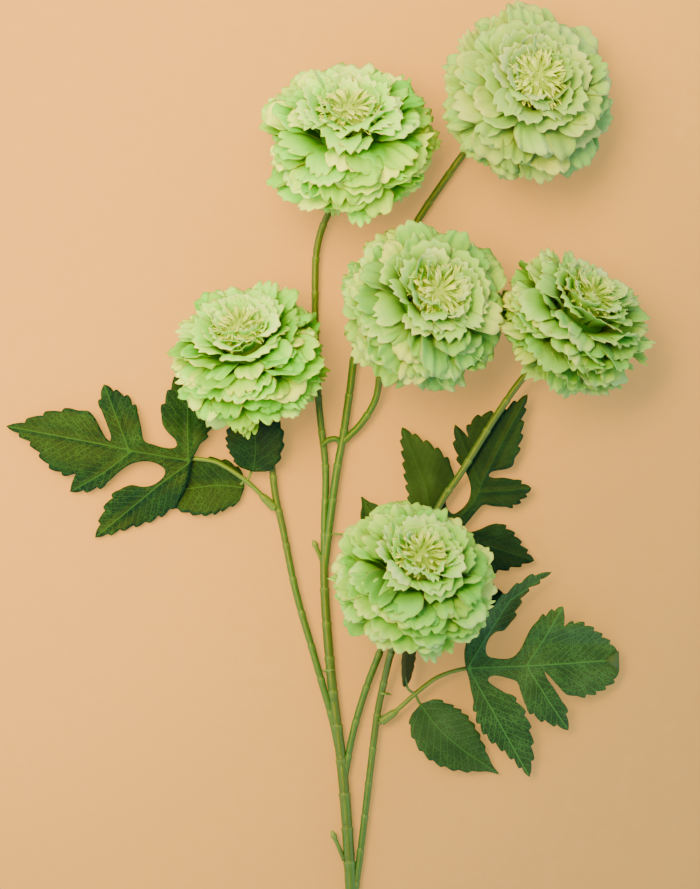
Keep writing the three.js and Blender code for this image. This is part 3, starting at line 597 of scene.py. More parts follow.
# Ribs, from the root to the point of each lobe, in the same pixels.
LEAF_RIBS = {
    "left": [
        [(191, 461), (140, 452.5), (100, 444), (5, 426)],
        [(189, 463), (160, 484), (94, 538)],
        [(188, 459), (187, 410), (190, 356)],
        [(128, 449), (117, 420), (103, 384)],
        [(131, 452), (103, 473), (69, 492)],
    ],
    "right": [
        [(467, 668.5), (530, 666), (580, 663), (620, 660)],
        [(469, 666), (486, 638), (510, 600), (552, 572)],
        [(470, 671), (500, 724), (530, 778)],
        [(527, 665), (545, 638), (563, 606)],
        [(528, 668), (548, 700), (569, 731)],
    ],
    "rear": [
        [(429, 537), (456, 521), (475, 502), (484, 479), (500, 447), (528, 394)],
        [(431, 533), (427, 490), (402, 427)],
        [(433, 536), (480, 543), (535, 561)],
        [(480, 485), (468, 455), (455, 424)],
        [(479, 492), (505, 491), (532, 488)],
    ],
}
# The right leaf's point is folded back on it: the flap's corners, in the same pixels.
FLAP = [(619.5, 651), (620, 671), (606.5, 661)]
FLAP_LIFT = 0.7
FLAP_BARE = 1.2


def eased(value, low, high):
    """From 0 at low to 1 at high, with a soft start and end."""
    t = np.clip((value - low) / (high - low), 0, 1)
    return t * t * (3 - 2 * t)


def in_plan(pixels, leaf):
    """Points of the camera's view in a leaf's own plan, along and across its midrib."""
    x, y = ((np.array(pixels, float) - VIEW_MIDDLE) * (VIEW_PIXEL, -VIEW_PIXEL) - leaf["base"][:2]).T
    angle = math.radians(leaf["heading"])
    cos, sin = math.cos(angle), math.sin(angle)
    return np.stack([x * cos + y * sin, y * cos - x * sin], -1)


def in_layout(local, leaf):
    """Points of a leaf's own frame in the layout."""
    angle = math.radians(leaf["heading"])
    cos, sin = math.cos(angle), math.sin(angle)
    x, y, z = local.T
    return np.stack([x * cos - y * sin, x * sin + y * cos, z], -1) + np.array(leaf["base"])


def leaf_margin(edges, leaf):
    """The toothed outline of a lobed leaf, clockwise from its root."""
    points, start = [], (0.0, 0.0)
    for teeth, plain, pixels in edges:
        through = in_plan(pixels, leaf)
        path = smooth_path([start, *through], per_span=16)
        steps = max(abs(teeth) * TOOTH_STEPS, round(path[1][-1] / MARGIN_STEP), 2)
        share = np.arange(1, steps + 1) / steps
        behind, spot, ahead = (at_shares(path, share + shift) for shift in (-0.01, 0, 0.01))
        way = unit(ahead - behind)
        outward = way @ np.array([[0.0, 1.0], [-1.0, 0.0]])
        place = 1 - share if teeth < 0 else share
        toothed = np.clip((place - plain) / (1 - plain), 0, 1)
        phase = (toothed * abs(teeth)) % 1.0
        front = 1 - np.maximum(0, 1 - phase / TOOTH_CREST) ** 1.6
        rise = np.where(phase < TOOTH_CREST, front, (1 - phase) / (1 - TOOTH_CREST))
        fade = np.minimum(1, np.minimum(2.5 * toothed, 0.9 * (1 - toothed)) * abs(teeth))
        points.append(spot + (TOOTH_HEIGHT * rise * fade)[:, None] * (outward + 0.35 * np.sign(teeth) * way))
        start = through[-1]
    return np.vstack(points)


def in_outline(points, outline):
    """Which points lie inside a closed outline."""
    inside = np.zeros(len(points), bool)
    for (x0, y0), (x1, y1) in zip(outline, np.roll(outline, -1, axis=0)):
        crosses = (y0 > points[:, 1]) != (y1 > points[:, 1])
        at = x0 + (points[:, 1] - y0) * (x1 - x0) / (y1 - y0 if y1 != y0 else 1e-9)
        inside ^= crosses & (points[:, 0] < at)
    return inside


def chain(points):
    """The segments of a chain of points, each with the length before it."""
    p = np.array(points, float)
    before = np.r_[0, np.cumsum(np.linalg.norm(np.diff(p, axis=0), axis=1))]
    return [(p[k], p[k + 1], before[k]) for k in range(len(p) - 1)]


def to_segments(points, segments):
    """Each point's distance to its nearest segment, its place along the chain, and its side."""
    best, along, side = np.full(len(points), 1e9), np.zeros(len(points)), np.zeros(len(points))
    for a, b, start in segments:
        length = np.linalg.norm(b - a)
        way = (b - a) / length
        t = (points - a) @ way
        off = (points - a) @ np.array([-way[1], way[0]])
        apart = np.hypot(off, np.maximum(0, np.maximum(-t, t - length)))
        nearer = apart < best
        best[nearer], along[nearer], side[nearer] = apart[nearer], start + t[nearer], off[nearer]
    return best, along, side


def flat_leaf(outline, ribs):
    """Points and faces that fill an outline with even triangles whose edges follow the ribs."""
    margin = chain(np.vstack([outline, outline[:1]]))
    low, high = outline.min(0), outline.max(0)
    spots = []
    for k, y in enumerate(np.arange(low[1], high[1], LEAF_GRID * 0.87)):
        xs = np.arange(low[0] + (k % 2) * LEAF_GRID / 2, high[0], LEAF_GRID)
        spots.append(np.stack([xs, np.full(len(xs), y)], -1))
    spots = np.vstack(spots)
    spots = spots[in_outline(spots, outline)]
    off_margin = to_segments(spots, margin)[0] > 0.45 * LEAF_GRID
    spots = spots[off_margin & (to_segments(spots, ribs)[0] > 0.55 * LEAF_GRID)]
    on_ribs = []
    for a, b, _ in ribs:
        steps = max(1, round(np.linalg.norm(b - a) / LEAF_GRID))
        on_ribs.append(a + (b - a) * (np.arange(steps)[:, None] + 0.5) / steps)
    on_ribs = np.vstack(on_ribs)
    off_margin = to_segments(on_ribs, margin)[0] > 0.3 * LEAF_GRID
    on_ribs = on_ribs[off_margin & in_outline(on_ribs, outline)]
    corners = [Vector(p) for p in np.vstack([outline, spots, on_ribs])]
    filled = delaunay_2d_cdt(corners, [], [list(range(len(outline)))], 1, 1e-5)
    points, faces = np.array([tuple(p) for p in filled[0]]), np.array(filled[2])
    (ax, ay), (bx, by), (cx, cy) = (points[faces[:, k]].T for k in range(3))
    down = (bx - ax) * (cy - ay) - (by - ay) * (cx - ax) <= 0
    faces[down] = faces[down][:, ::-1]
    return points, faces.tolist()


def thin_sheet(middle, faces, thickness, **marks):
    """A closed thin solid about a mid surface of points and faces, with a crisp cut rim."""
    count = len(middle)
    corners = np.array(faces)
    first, second, third = (middle[corners[:, k]] for k in range(3))
    across = np.cross(second - first, third - first)
    normals = np.zeros_like(middle)
    for k in range(corners.shape[1]):
        np.add.at(normals, corners[:, k], across)
    normals = unit(normals)
    edges = {(face[i - 1], face[i]) for face in faces for i in range(len(face))}
    walls = [(a + count, b + count, b, a) for a, b in sorted(edges) if (b, a) not in edges]
    under = [tuple(i + count for i in reversed(face)) for face in faces]
    points = np.vstack([middle + normals * thickness / 2, middle - normals * thickness / 2])
    doubled = {name: np.concatenate([v, v]) for name, v in marks.items()}
    doubled["under"] = np.r_[np.zeros(count), np.ones(count)]
    crisp = [False] * (2 * len(faces)) + [True] * len(walls)
    faces = [*map(tuple, faces), *under, *walls]
    return {"points": points, "faces": faces, "marks": doubled, "crisp": crisp}


def left_height(u, v):
    """The left leaf: its basal lobes and its tip droop to the surface."""
    return -np.where(v < 0, 6.7, 4.4) * eased(np.abs(v), 8, 30) - 2.1 * eased(u, 30, 75), np.zeros_like(u)


def right_height(u, v):
    """The right leaf: its left basal lobe is turned up almost on edge, and the rest droops."""
    lobe = unit(np.array([32.8, 38.0]))
    along = u * lobe[0] + v * lobe[1]
    across = v * lobe[0] - u * lobe[1] - 3.9 * np.sin(math.pi * np.clip(along / 51, 0, 1))
    roll = math.radians(50) * eased(along, 10, 24) * eased(v - 0.75 * u, -1, 3)
    z = across * np.tan(roll) + 3.5 * eased(along, 14, 45) * eased(v, 6, 16)
    z -= 4.5 * eased(u, 25, 62) * (1 - eased(v, 6, 16)) + 4.5 * eased(-v, 10, 45)
    return z, roll


def rear_height(u, v):
    """The rear leaf: it rises to its tip and is slightly folded down along the midrib."""
    return 0.085 * u - 0.02 * np.abs(v), np.zeros_like(u)


def vein_phase(along, side, pitch, lean, bend):
    """The phase of the side veins, which leave a rib at a slant, by turns to its left and right."""
    return (along - lean * np.abs(side) + bend * side**2) / pitch + np.where(side > 0, 0.5, 0)


def leaf_relief(gap, phase):
    """Height of the pressed relief: low ribs with a dip beside them, and swellings between veins."""
    swelling = 0.2 * np.abs(np.sin(math.pi * phase)) * eased(gap, 0.5, 4)
    relief = 0.3 * np.exp(-((gap / 0.7) ** 2)) + swelling - 0.2 * np.exp(-(((gap - 2.2) / 1.3) ** 2))
    return relief - 0.1


def print_and_sheen_marks(on_leaf, gap, phase, pale, clear):
    """Marks for the print and the painted sheen: each point's place in the leaf's own millimetres, and its
    print and painted sheen there.
    """
    marks = {"rib_gap": gap, "vein_phase": phase, "pale": pale, "clear": clear}
    return {"on_leaf": on_leaf} | {name: np.full(len(on_leaf), v) for name, v in marks.items()}


# Coated printed polyester: a waxy, slightly bluish sheen over dark green, with the printed net of
# veins, whose cells are about 1.3 mm across, and the ribs in a lighter yellow green. Parts of some
# leaves are mixed to a paler green print as painted sheen. Its pattern follows the leaf's own millimetres.
coated_polyester, tree = new_material("coated_polyester")
place = add(tree, "Attribute", gives="Vector", attribute_name="on_leaf")
gap_to_rib, phase, under, pale, clear = (
    add(tree, "Attribute", gives="Fac", attribute_name=mark)
    for mark in ("rib_gap", "vein_phase", "under", "pale", "clear")
)
wander = add(tree, "TexNoise", {"Vector": place, "Scale": 0.35, "Detail": 2.0})
bent_phase = add(tree, "Math", {0: wander, 1: 0.16, 2: phase}, operation="MULTIPLY_ADD")
folded = add(tree, "Math", {0: bent_phase, 1: 0.5}, operation="PINGPONG")
side_line = {"Value": folded, "From Min": 0.062, "From Max": 0.015, "To Max": 0.55}
side_vein = add(tree, "MapRange", side_line, interpolation_type="SMOOTHSTEP")
rib_line = {"Value": gap_to_rib, "From Min": 0.42, "From Max": 0.05, "To Max": 0.64}
rib = add(tree, "MapRange", rib_line, interpolation_type="SMOOTHSTEP")
cells = {"Vector": place, "Scale": 1 / VEIN_CELL, "Randomness": 0.9}
net = add(tree, "TexVoronoi", cells, feature="DISTANCE_TO_EDGE")
net_line = {"Value": net, "From Min": 0.14, "From Max": 0.02}
fine_line = add(tree, "MapRange", net_line, interpolation_type="SMOOTHSTEP")
printed = add(tree, "TexNoise", {"Vector": place, "Scale": 0.12, "Detail": 2.0})
net_share = add(tree, "MapRange", {
    "Value": printed, "From Min": 0.35, "From Max": 0.65, "To Min": 0.1, "To Max": 0.4,
})
fine_net = add(tree, "Math", {0: fine_line, 1: net_share}, operation="MULTIPLY")
lines = add(tree, "Math", {0: fine_net, 1: side_vein}, operation="MAXIMUM")
veins = add(tree, "Math", {0: lines, 1: rib}, operation="MAXIMUM")
cloud = add(tree, "TexNoise", {"Vector": place, "Scale": 0.06, "Detail": 4.0})
deep_print = add(tree, "ValToRGB", {"Fac": cloud}, stops=[
    (0.3, "#031E13"), (0.5, "#062417"), (0.72, "#092E1F"),
])
# A paler, greyer copy of the print, mixed in as painted sheen.
painted_sheen_print = add(tree, "ValToRGB", {"Fac": cloud}, stops=[
    (0.3, "#214220"), (0.5, "#2D4E2B"), (0.72, "#395735"),
])
blade = add(tree, "Mix", {0: pale, 6: deep_print, 7: painted_sheen_print}, **COLOURS)
vein_share = add(tree, "Math", {0: veins, 1: clear}, operation="MULTIPLY")
upper = add(tree, "Mix", {0: vein_share, 6: blade, 7: to_linear("#509E4E")}, **COLOURS)
bare_share = add(tree, "Math", {0: under, 1: 0.45}, operation="MULTIPLY")
leaf_colour = add(tree, "Mix", {0: bare_share, 6: upper, 7: to_linear("#4C6842")}, **COLOURS)
leaf_bump = add(tree, "Bump", {"Height": veins, "Strength": 0.3, "Distance": 0.2 * MM})
leaf_cloth = add(tree, "BsdfPrincipled", {
    "Base Color": leaf_colour, "Roughness": 0.5, "IOR": 1.46, "Normal": leaf_bump,
    "Specular IOR Level": 0.22, "Specular Tint": (0.45, 0.75, 1.0, 1.0),
})
add(tree, "OutputMaterial", {"Surface": leaf_cloth})

# Each leaf's root, its heading, its height, how clear its veins are, and how much painted sheen it
# carries, which runs from one share to another between two bearings from its root.
LEAVES = {
    "left": {
        "base": (-63.4, -6.4, 5.5 + SEAT), "heading": 169.2, "height": left_height,
        "clear": 0.32, "painted_sheen_level": ((0, 1), (0, 0)),
    },
    "right": {
        "base": (46.4, -89.6, 8.5 + SEAT), "heading": 3.2, "height": right_height,
        "clear": 0.72, "painted_sheen_level": ((-30, 10), (0.6, 1)),
    },
    "rear": {
        "base": (31.2, -37.1, 2.1 + SEAT), "heading": 52.9, "height": rear_height,
        "clear": 0.13, "painted_sheen_level": ((26, 34), (0.1, 0.5)),
    },
}
for name, leaf in LEAVES.items():
    ribs = [segment for rib in LEAF_RIBS[name] for segment in chain(in_plan(rib, leaf))]
    points, faces = flat_leaf(leaf_margin(LEAF_OUTLINES[name], leaf), ribs)
    gap, along, side = to_segments(points, ribs)
    phase = vein_phase(along, side, *LEAF_VEINS)
    height, roll = leaf["height"](*points.T)
    middle = kept_above(OFF_TABLE, in_layout(np.c_[points, height + leaf_relief(gap, phase)], leaf))
    # Painted sheen: each point's share of the paler print, by its bearing from the root.
    pale = np.interp(np.degrees(np.arctan2(points[:, 1], points[:, 0])), *leaf["painted_sheen_level"])
    marks = print_and_sheen_marks(np.c_[points, height * np.sin(roll)], gap, phase, pale, leaf["clear"])
    shapes = [thin_sheet(middle, faces, LEAF_THICKNESS, **marks)]
    if name == "right":
        flap = in_plan(FLAP, leaf)
        over = in_layout(np.c_[flap, leaf["height"](*flap.T)[0] + FLAP_LIFT], leaf)
        marks = print_and_sheen_marks(np.c_[flap, np.zeros(3)], 5.0, 0.5, 1.0, 0.0)
        shapes.append(thin_sheet(over, [(0, 2, 1)], LEAF_THICKNESS, **marks))
        shapes[1]["marks"]["under"] = np.full(6, FLAP_BARE)
    piece(f"lobed_leaf_{name}", joined(shapes), coated_polyester, f"leaf_{name}")

# ---------------------------------------------------------------- leaflets
# Small egg-shaped leaves of the same printed cloth, stamped with nine teeth a side and pressed to
# a shallow trough along the midrib. Each is glued to the end of a stalk's arm.

LEAFLET_HALF = 10.8
LEAFLET_TEETH = 9
LEAFLET_TOOTH = (0.0, 0.35, 0.75, 1.0)
LEAFLET_ROWS = LEAFLET_TEETH * len(LEAFLET_TOOTH)
LEAFLET_COLUMNS = 12
LEAFLET_VEINS = (3.5, 0.95, 0.016)
LEAFLET_TROUGH = 0.11
LEAFLET_WAVE = 0.45
# Each leaflet's route, its turn about it in degrees, its share of painted sheen and how clear its veins are.
LEAFLETS = {
    "left_a": ([
        (-42.4, -17.4, 4.1), (-52, -16.4, 3.5), (-64, -17.6, 2.8), (-84, -20.4, 1.8),
    ], 0, 0.05, 0.32),
    "left_b": ([
        (-38.9, -10.8, 7.6), (-37.8, -2.6, 9.6), (-38.4, 6, 10.6), (-40.4, 14, 9.4), (-44, 24, 6),
    ], -4, 0.0, 0.2),
    "right_a": ([
        (28.2, -104, 8), (34.8, -113, 6.8), (45.2, -122.4, 4.6), (59.6, -132.2, 2.4),
    ], 0, 0.75, 0.4),
    "right_b": ([(21.7, -97, 11), (21.8, -86, 11.8), (24.4, -74, 11.6), (28.4, -60, 9.6)], 76, 0.3, 0.2),
    "rear_a": ([(22.4, -49.4, 2.7), (16, -40, 2), (10.4, -31, 1.5), (4.6, -21, 1.2)], 0, 0.42, 0.2),
    "rear_b": ([(30, -54.4, 2.7), (40, -58.4, 1.8), (51, -61, 1.4), (66, -62.6, 1.2)], 0, 0.0, 0.1),
}


def grid_faces(rows, columns):
    """Quads over a grid of points, facing up where rows run away and columns to the left."""
    starts = [r * columns + c for r in range(rows - 1) for c in range(columns - 1)]
    return [(a, a + columns, a + columns + 1, a + 1) for a in starts]


for seed, (name, (route, roll, painted_sheen_level, clear_veins)) in enumerate(LEAFLETS.items(), 31):
    draw = np.random.default_rng(seed)
    path = smooth_path(route)
    shares = np.linspace(0, 1, LEAFLET_ROWS + 1)
    centres, sides, ups = along_path(path, shares)
    half = LEAFLET_HALF * np.sin(math.pi * shares**0.7) ** (0.6 + 0.8 * shares)
    half = half + np.r_[np.tile(LEAFLET_TOOTH, LEAFLET_TEETH), 0] * eased(half, 1, 5) + 0.25
    turn = math.radians(roll)
    across = sides * math.cos(turn) + ups * math.sin(turn)
    lift = ups * math.cos(turn) - sides * math.sin(turn)
    columns = np.linspace(-1, 1, LEAFLET_COLUMNS + 1)
    flat_v = half[:, None] * columns
    flat_u = np.repeat(shares[:, None] * path[1][-1], len(columns), 1)
    gap = np.abs(flat_v)
    phase = vein_phase(flat_u, flat_v, *LEAFLET_VEINS)
    wave = LEAFLET_WAVE * np.sin(flat_u / 5.5 + draw.uniform(0, 6)) * columns**2
    height = LEAFLET_TROUGH * gap + leaf_relief(gap, phase) + wave
    middle = centres[:, None] + flat_v[..., None] * across[:, None] + height[..., None] * lift[:, None]
    middle = kept_above(OFF_TABLE, middle.reshape(-1, 3))
    on_leaf = np.stack([flat_u + 9 * seed, flat_v, 0 * flat_v], -1).reshape(-1, 3)
    marks = print_and_sheen_marks(on_leaf, gap.ravel(), phase.ravel(), painted_sheen_level, clear_veins)
    faces = grid_faces(LEAFLET_ROWS + 1, LEAFLET_COLUMNS + 1)
    shape = thin_sheet(middle, faces, LEAF_THICKNESS, **marks)
    piece(f"leaflet_of_{name}", shape, coated_polyester, f"leaflet_{name}")

# ---------------------------------------------------------------- calyx cups
# A reddish-brown polythene cup is pushed on the end of each stem under the petals, with five
# narrow sepals moulded to its rim that lie against the lowest petals. A few have sprung loose.

CALYX_PROFILE = [
    (1.5, -23.6), (3.2, -23.6), (3.6, -22.4), (4.0, -20.5), (4.6, -18.5),
    (6.2, -16.6), (8.2, -14.6), (8.5, -13.9), (7.6, -13.5), (3.0, -13.9),
]
CALYX_SIDES = 40
CALYX_PATCH = 4.0
SEPALS = 5
SEPAL_THICKNESS = 0.5
SEPAL_HALF = 2.4
SEPAL_START = 8.0
SEPAL_END = 17.0
SEPAL_ROWS = 12
SEPAL_COLUMNS = 5
SEPALS_OFF_TABLE = 0.3
# Loose sepals: the bloom, the way the strap points in its frame, and how far it reaches.
LOOSE_SEPALS = [(2, (-1, 0.02), 30.5), (5, (-0.3, -0.95), 20.5), (5, (0.05, -1), 18.0)]

# Moulded polythene, dyed reddish brown, with darker clouds where the dye settled, and hardly glossy.
moulded_calyx, tree = new_material("moulded_calyx")
place = add(tree, "TexCoord", gives="Object")
patches = add(tree, "TexNoise", {"Vector": place, "Scale": 1 / (CALYX_PATCH * MM), "Detail": 4.0})
brown = add(tree, "ValToRGB", {"Fac": patches}, stops=[(0.3, "#6A3212"), (0.5, "#8A3C1C"), (0.7, "#A04824")])
calyx_plastic = add(tree, "BsdfPrincipled", {"Base Color": brown, "Roughness": 0.5, "IOR": 1.51})
add(tree, "OutputMaterial", {"Surface": calyx_plastic})


def turned_rings(profile, count):
    """Rings of points round a bloom's axis, from a profile's radii and heights."""
    angles = np.arange(count) * 2 * math.pi / count
    return [np.stack([r * np.cos(angles), r * np.sin(angles), np.full(count, h)], -1) for r, h in profile]


def sepal(angle, end, draw):
    """A narrow blunt strap from the cup's rim out along the underside of the petals."""
    s = np.linspace(0, 1, SEPAL_ROWS)[:, None]
    t = np.linspace(-1, 1, SEPAL_COLUMNS)[None, :]
    reach = SEPAL_START + (end + draw.uniform(-1, 1) - SEPAL_START) * s
    height = -14.4 - 3.2 * np.sin(math.pi * s * 0.8) - 2.5 * s + 0.3 * t**2
    half = SEPAL_HALF * (1 - 0.45 * s) * (1 - 0.5 * np.clip((s - 0.8) / 0.2, 0, 1) ** 2)
    turn = angle + t * half / reach
    middle = np.stack([reach * np.cos(turn), reach * np.sin(turn), height], -1).reshape(-1, 3)
    return thin_sheet(middle, grid_faces(SEPAL_ROWS, SEPAL_COLUMNS), SEPAL_THICKNESS)


for number, bloom in enumerate(BLOOMS, 1):
    draw = np.random.default_rng(50 + number)
    start = draw.uniform(0, 2 * math.pi)
    ways = [(start + 2 * math.pi * k / SEPALS, SEPAL_END) for k in range(SEPALS)]
    ways += [(math.atan2(way[1], way[0]), end) for which, way, end in LOOSE_SEPALS if which == number]
    cup = skin(turned_rings(CALYX_PROFILE, CALYX_SIDES), 0.0)
    shape = joined([cup, *(sepal(angle, end, draw) for angle, end in ways)])
    shape["points"] = kept_above(SEPALS_OFF_TABLE, on_bloom(bloom, shape["points"]))
    piece(f"calyx_cup_{number}", shape, moulded_calyx, f"bloom_{number}_calyx")

# ---------------------------------------------------------------- petals
# Each head is a stack of dyed polyester-satin discs threaded on a foam core. Every disc is stamped
# into wide petals with lobed margins, hot-pressed to pleats and ruffles, and the rims are singed.

# Tiers from the underside up: petals, the root, bend and tip of each as radius and height, the half
# width, and whether the margin is pinked. On the side away from the lean the upper tiers part from
# the rosette and lie back, with their bend and tip where the last column says.
TIERS = [
    (10, (8, -12), (16, -13.5), (22.5, -21), 5.6, True, ()),
    (12, (9, -10), (19.5, -11), (26.5, -19), 6.4, False, ()),
    (13, (10, -8), (23, -8), (29.8, -15.5), 6.8, False, ()),
    (14, (11, -6), (26, -5), (32.2, -11.5), 7.0, False, ()),
    (14, (11.5, -4.5), (27.5, -1.5), (34, -7.5), 7.2, False, ()),
    (14, (12, -3), (28.5, 2), (35, -3.2), 7.4, False, ()),
    (13, (12, -1.5), (28.5, 6), (35.2, 1.2), 7.8, False, ()),
    (12, (12, 0.5), (26.5, 10), (34.6, 5.2), 8.2, False, ()),
    (11, (12, 2), (24, 14), (33.2, 9.6), 8.4, False, ((22, 12), (34, 4.6))),
    (11, (11.5, 3.5), (21, 17), (30.8, 14), 8.2, False, ((21.5, 14.5), (33.8, 7))),
    (10, (11, 5), (18.5, 18.5), (27.6, 18), 8.0, False, ((20.5, 15), (32.8, 9.5))),
    (10, (10, 7), (14.5, 20), (22.6, 21.6), 8.0, True, ((16.5, 22), (25.8, 17.4))),
    (9, (8.6, 8), (12, 20), (18, 24), 7.4, True, ((14, 23.8), (23, 19.6))),
    (8, (7, 9), (9.5, 19), (13.4, 25.6), 5.8, True, ((10.8, 24.4), (19.2, 21.4))),
    (6, (5.5, 9.5), (7, 17), (10.2, 25), 4.8, True, ((8.6, 24), (15.2, 22.4))),
]
PETAL_THICKNESS = 0.16
PETAL_ROWS = 11
PETAL_COLUMNS = 16
PETAL_WIDTHS = [(0, 0.34), (0.2, 0.55), (0.5, 0.88), (0.78, 1.0), (1.0, 0.95)]
LOBES = [2.0, 3.0, 3.0, 4.0]
LOBE_DEPTH = (0.05, 0.13)
PINKING_DEPTH = (0.07, 0.14)
PRESSED_HEIGHT = (-0.6, 0.7)
PLEAT_HEIGHT = (0.2, 1.15)
PLEAT_WIDTH = (4.4, 8)
RUFFLE_HEIGHT = (0.4, 1.5)
RUFFLE_LENGTH = 7.5
CORE_PROFILE = [(3, -13.4), (8.4, -13.2), (12.5, -7), (13.2, 2), (11, 9), (4, 10)]
CORE_SIDES = 48
CLEAR_OF_TABLE = 0.25
DYE_PATCH = 9.0
THREAD_PITCH = 0.8


def some(draw, size):
    """A random amount, either way, of about a size and never over one and a half times it."""
    return size * float(np.clip(draw.standard_normal(), -1.5, 1.5))


def petal(tier, angle, parting, faded, draw):
    """The mid surface of one petal in the bloom's frame, with its marks."""
    _, root, bend, tip, half, pinked, parted = tier
    root, bend, tip = np.array([root, bend, tip], float)
    s = np.linspace(0, 1, PETAL_ROWS)[:, None]
    t = np.linspace(-1, 1, PETAL_COLUMNS)[None, :]
    calm, loose = (0.4, 0.8) if pinked else (1.0, 1.25)
    fresh = tip[1]

    # The stamped outline: lobes, and on the inner petals a pinked edge.
    lobe_place = math.pi * draw.choice(LOBES) * (t + 1) / 2
    margin = 1 - 0.15 * np.abs(t) ** 2.4 + some(draw, 0.04) * t
    margin = margin - calm * draw.uniform(*LOBE_DEPTH) * (1 - np.abs(np.sin(lobe_place))) ** 1.5
    if pinked:
        saw = np.abs((np.arange(PETAL_COLUMNS)[None, :] + draw.integers(4)) % 4 / 2 - 1)
        margin = margin - draw.uniform(*PINKING_DEPTH) * saw
    a = s * margin
    half = half * (1 + some(draw, 0.15))
    widths = half * np.interp(a, *zip(*PETAL_WIDTHS))
    x = (t + some(draw, 0.12) * (1 - t**2)) * widths

    # The line from root to tip, and the direction out of the petal along it.
    if parted:
        bend, tip = bend + parting * (parted[0] - bend), tip + parting * (parted[1] - tip)
    tip = tip * (1 + some(draw, 0.045 * loose)) + (0, some(draw, 1.9 * loose))
    bend = bend + (some(draw, loose), some(draw, loose))
    b = a[..., None]
    line = (1 - b) ** 2 * root + 2 * b * (1 - b) * bend + b**2 * tip
    way = unit((1 - b) * (bend - root) + b * (tip - bend))
    out = np.stack([-way[..., 1], way[..., 0]], -1)

    # The pressed form: a bowl, the pressed lobes, pleats, a ruffled margin, a crease and a curled tip.
    phases = draw.uniform(0, 2 * math.pi, 5)
    length = np.linalg.norm(tip - root)
    free = eased(a, 0.25, 1.0)
    rise = (some(draw, 0.11) - 0.02) * x**2 / half * eased(a, 0.1, 0.9)
    rise = rise + calm * draw.uniform(*PRESSED_HEIGHT) * np.cos(2 * lobe_place) * eased(a, 0.1, 0.8)
    pleated = calm * draw.uniform(*PLEAT_HEIGHT)
    pleats = np.sin(2 * math.pi * x / draw.uniform(*PLEAT_WIDTH) + phases[0])
    rise = rise + pleated * pleats * free**1.5
    ruffle = np.sin(2 * math.pi * a * length / RUFFLE_LENGTH + phases[1] + 2 * np.sign(t))
    rise = rise + calm * draw.uniform(*RUFFLE_HEIGHT) * np.abs(t) ** 2.5 * free * ruffle
    crease = np.sqrt((x - some(draw, 2.5)) ** 2 + 0.1)
    rise = rise + some(draw, 0.26) * crease * eased(a, 0.0, 0.4)
    rise = rise + (some(draw, 1.6) + 0.7) * np.clip((a - 0.68) / 0.32, 0, 1) ** 2
    rise = rise + x * math.tan(math.radians(some(draw, 16))) * a
    spot = line + out * rise[..., None]

    turn = angle + x / np.maximum(line[..., 0], half) + math.radians(some(draw, 7)) * a
    middle = np.stack([spot[..., 0] * np.cos(turn), spot[..., 0] * np.sin(turn), spot[..., 1]], -1)
    rim = np.minimum((1 - s) * margin * length, (1 - np.abs(t)) * widths)
    marks = {"along": a, "across": x, "rim": rim, "tone": draw.random(), "fresh": fresh, "faded": faded}
    return middle.reshape(-1, 3), {name: np.broadcast_to(v, a.shape).ravel() for name, v in marks.items()}


def turned_over(faces):
    """The same faces turned over."""
    return [face[::-1] for face in faces]


# Dyed polyester satin: the fabric lets some light through. The dye runs from a saturated green at
# the root to pale mint at the tip, and the ramps are deepened further at the roots as painted shade
# between the petals. It takes yellower on some petals than on others, the lowest tiers under the
# ball are mixed to a deeper green as painted shade, and the cloth has fine threads lengthwise,
# drawn 0.8 mm apart so that they show, and a thin brownish singed rim.
dyed_satin, tree = new_material("dyed_satin")
along, across, rim, tone, fresh, faded = (
    add(tree, "Attribute", gives="Fac", attribute_name=mark)
    for mark in ("along", "across", "rim", "tone", "fresh", "faded")
)
place = add(tree, "TexCoord", gives="Object")
dye_run = add(tree, "TexNoise", {"Vector": place, "Scale": 1 / (DYE_PATCH * MM), "Detail": 3.0})
# The shift towards the ramps' dark root colours deepens the painted shade between the petals.
tone_shift = add(tree, "Math", {0: tone, 1: 0.5, 2: -0.54}, operation="MULTIPLY_ADD")
dye_shift = add(tree, "Math", {0: dye_run, 1: 0.4, 2: tone_shift}, operation="MULTIPLY_ADD")
dye = add(tree, "Math", {0: along, 1: dye_shift}, operation="ADD")
mint_dye_and_shade = add(tree, "ValToRGB", {"Fac": dye}, stops=[
    (0.2, "#2A7E06"), (0.47, "#53BE1B"), (0.68, "#75E240"), (0.86, "#95F361"), (1.0, "#B7FE88"),
])
lime_dye_and_shade = add(tree, "ValToRGB", {"Fac": dye}, stops=[
    (0.2, "#428F06"), (0.47, "#76C915"), (0.68, "#97E634"), (0.86, "#B5F254"), (1.0, "#D4FE80"),
])
inner_dye_and_shade = add(tree, "ValToRGB", {"Fac": dye}, stops=[
    (0.2, "#57B823"), (0.45, "#96EF52"), (0.7, "#B3FF83"), (0.95, "#C9FFB1"),
])
lot = add(tree, "Math", {0: tone, 1: 7.0}, operation="MULTIPLY")
lot_place = add(tree, "Math", {0: lot}, operation="FRACT")
lime_share = add(tree, "MapRange", {"Value": lot_place, "From Min": 0.45, "From Max": 0.85})
outer_dye_and_shade = add(tree, "Mix", {0: lime_share, 6: mint_dye_and_shade, 7: lime_dye_and_shade}, **COLOURS)
inner_share = add(tree, "MapRange", {"Value": fresh, "From Min": 17.0, "From Max": 24.0})
clean = add(tree, "Mix", {0: inner_share, 6: outer_dye_and_shade, 7: inner_dye_and_shade}, **COLOURS)
singed = {"Value": rim, "From Min": 0.42, "From Max": 0.1}
rim_line = add(tree, "MapRange", singed, interpolation_type="SMOOTHSTEP")
rim_break = add(tree, "MapRange", {"Value": dye_run, "From Min": 0.35, "From Max": 0.6, "To Max": 0.65})
rim_share = add(tree, "Math", {0: rim_line, 1: rim_break}, operation="MULTIPLY")
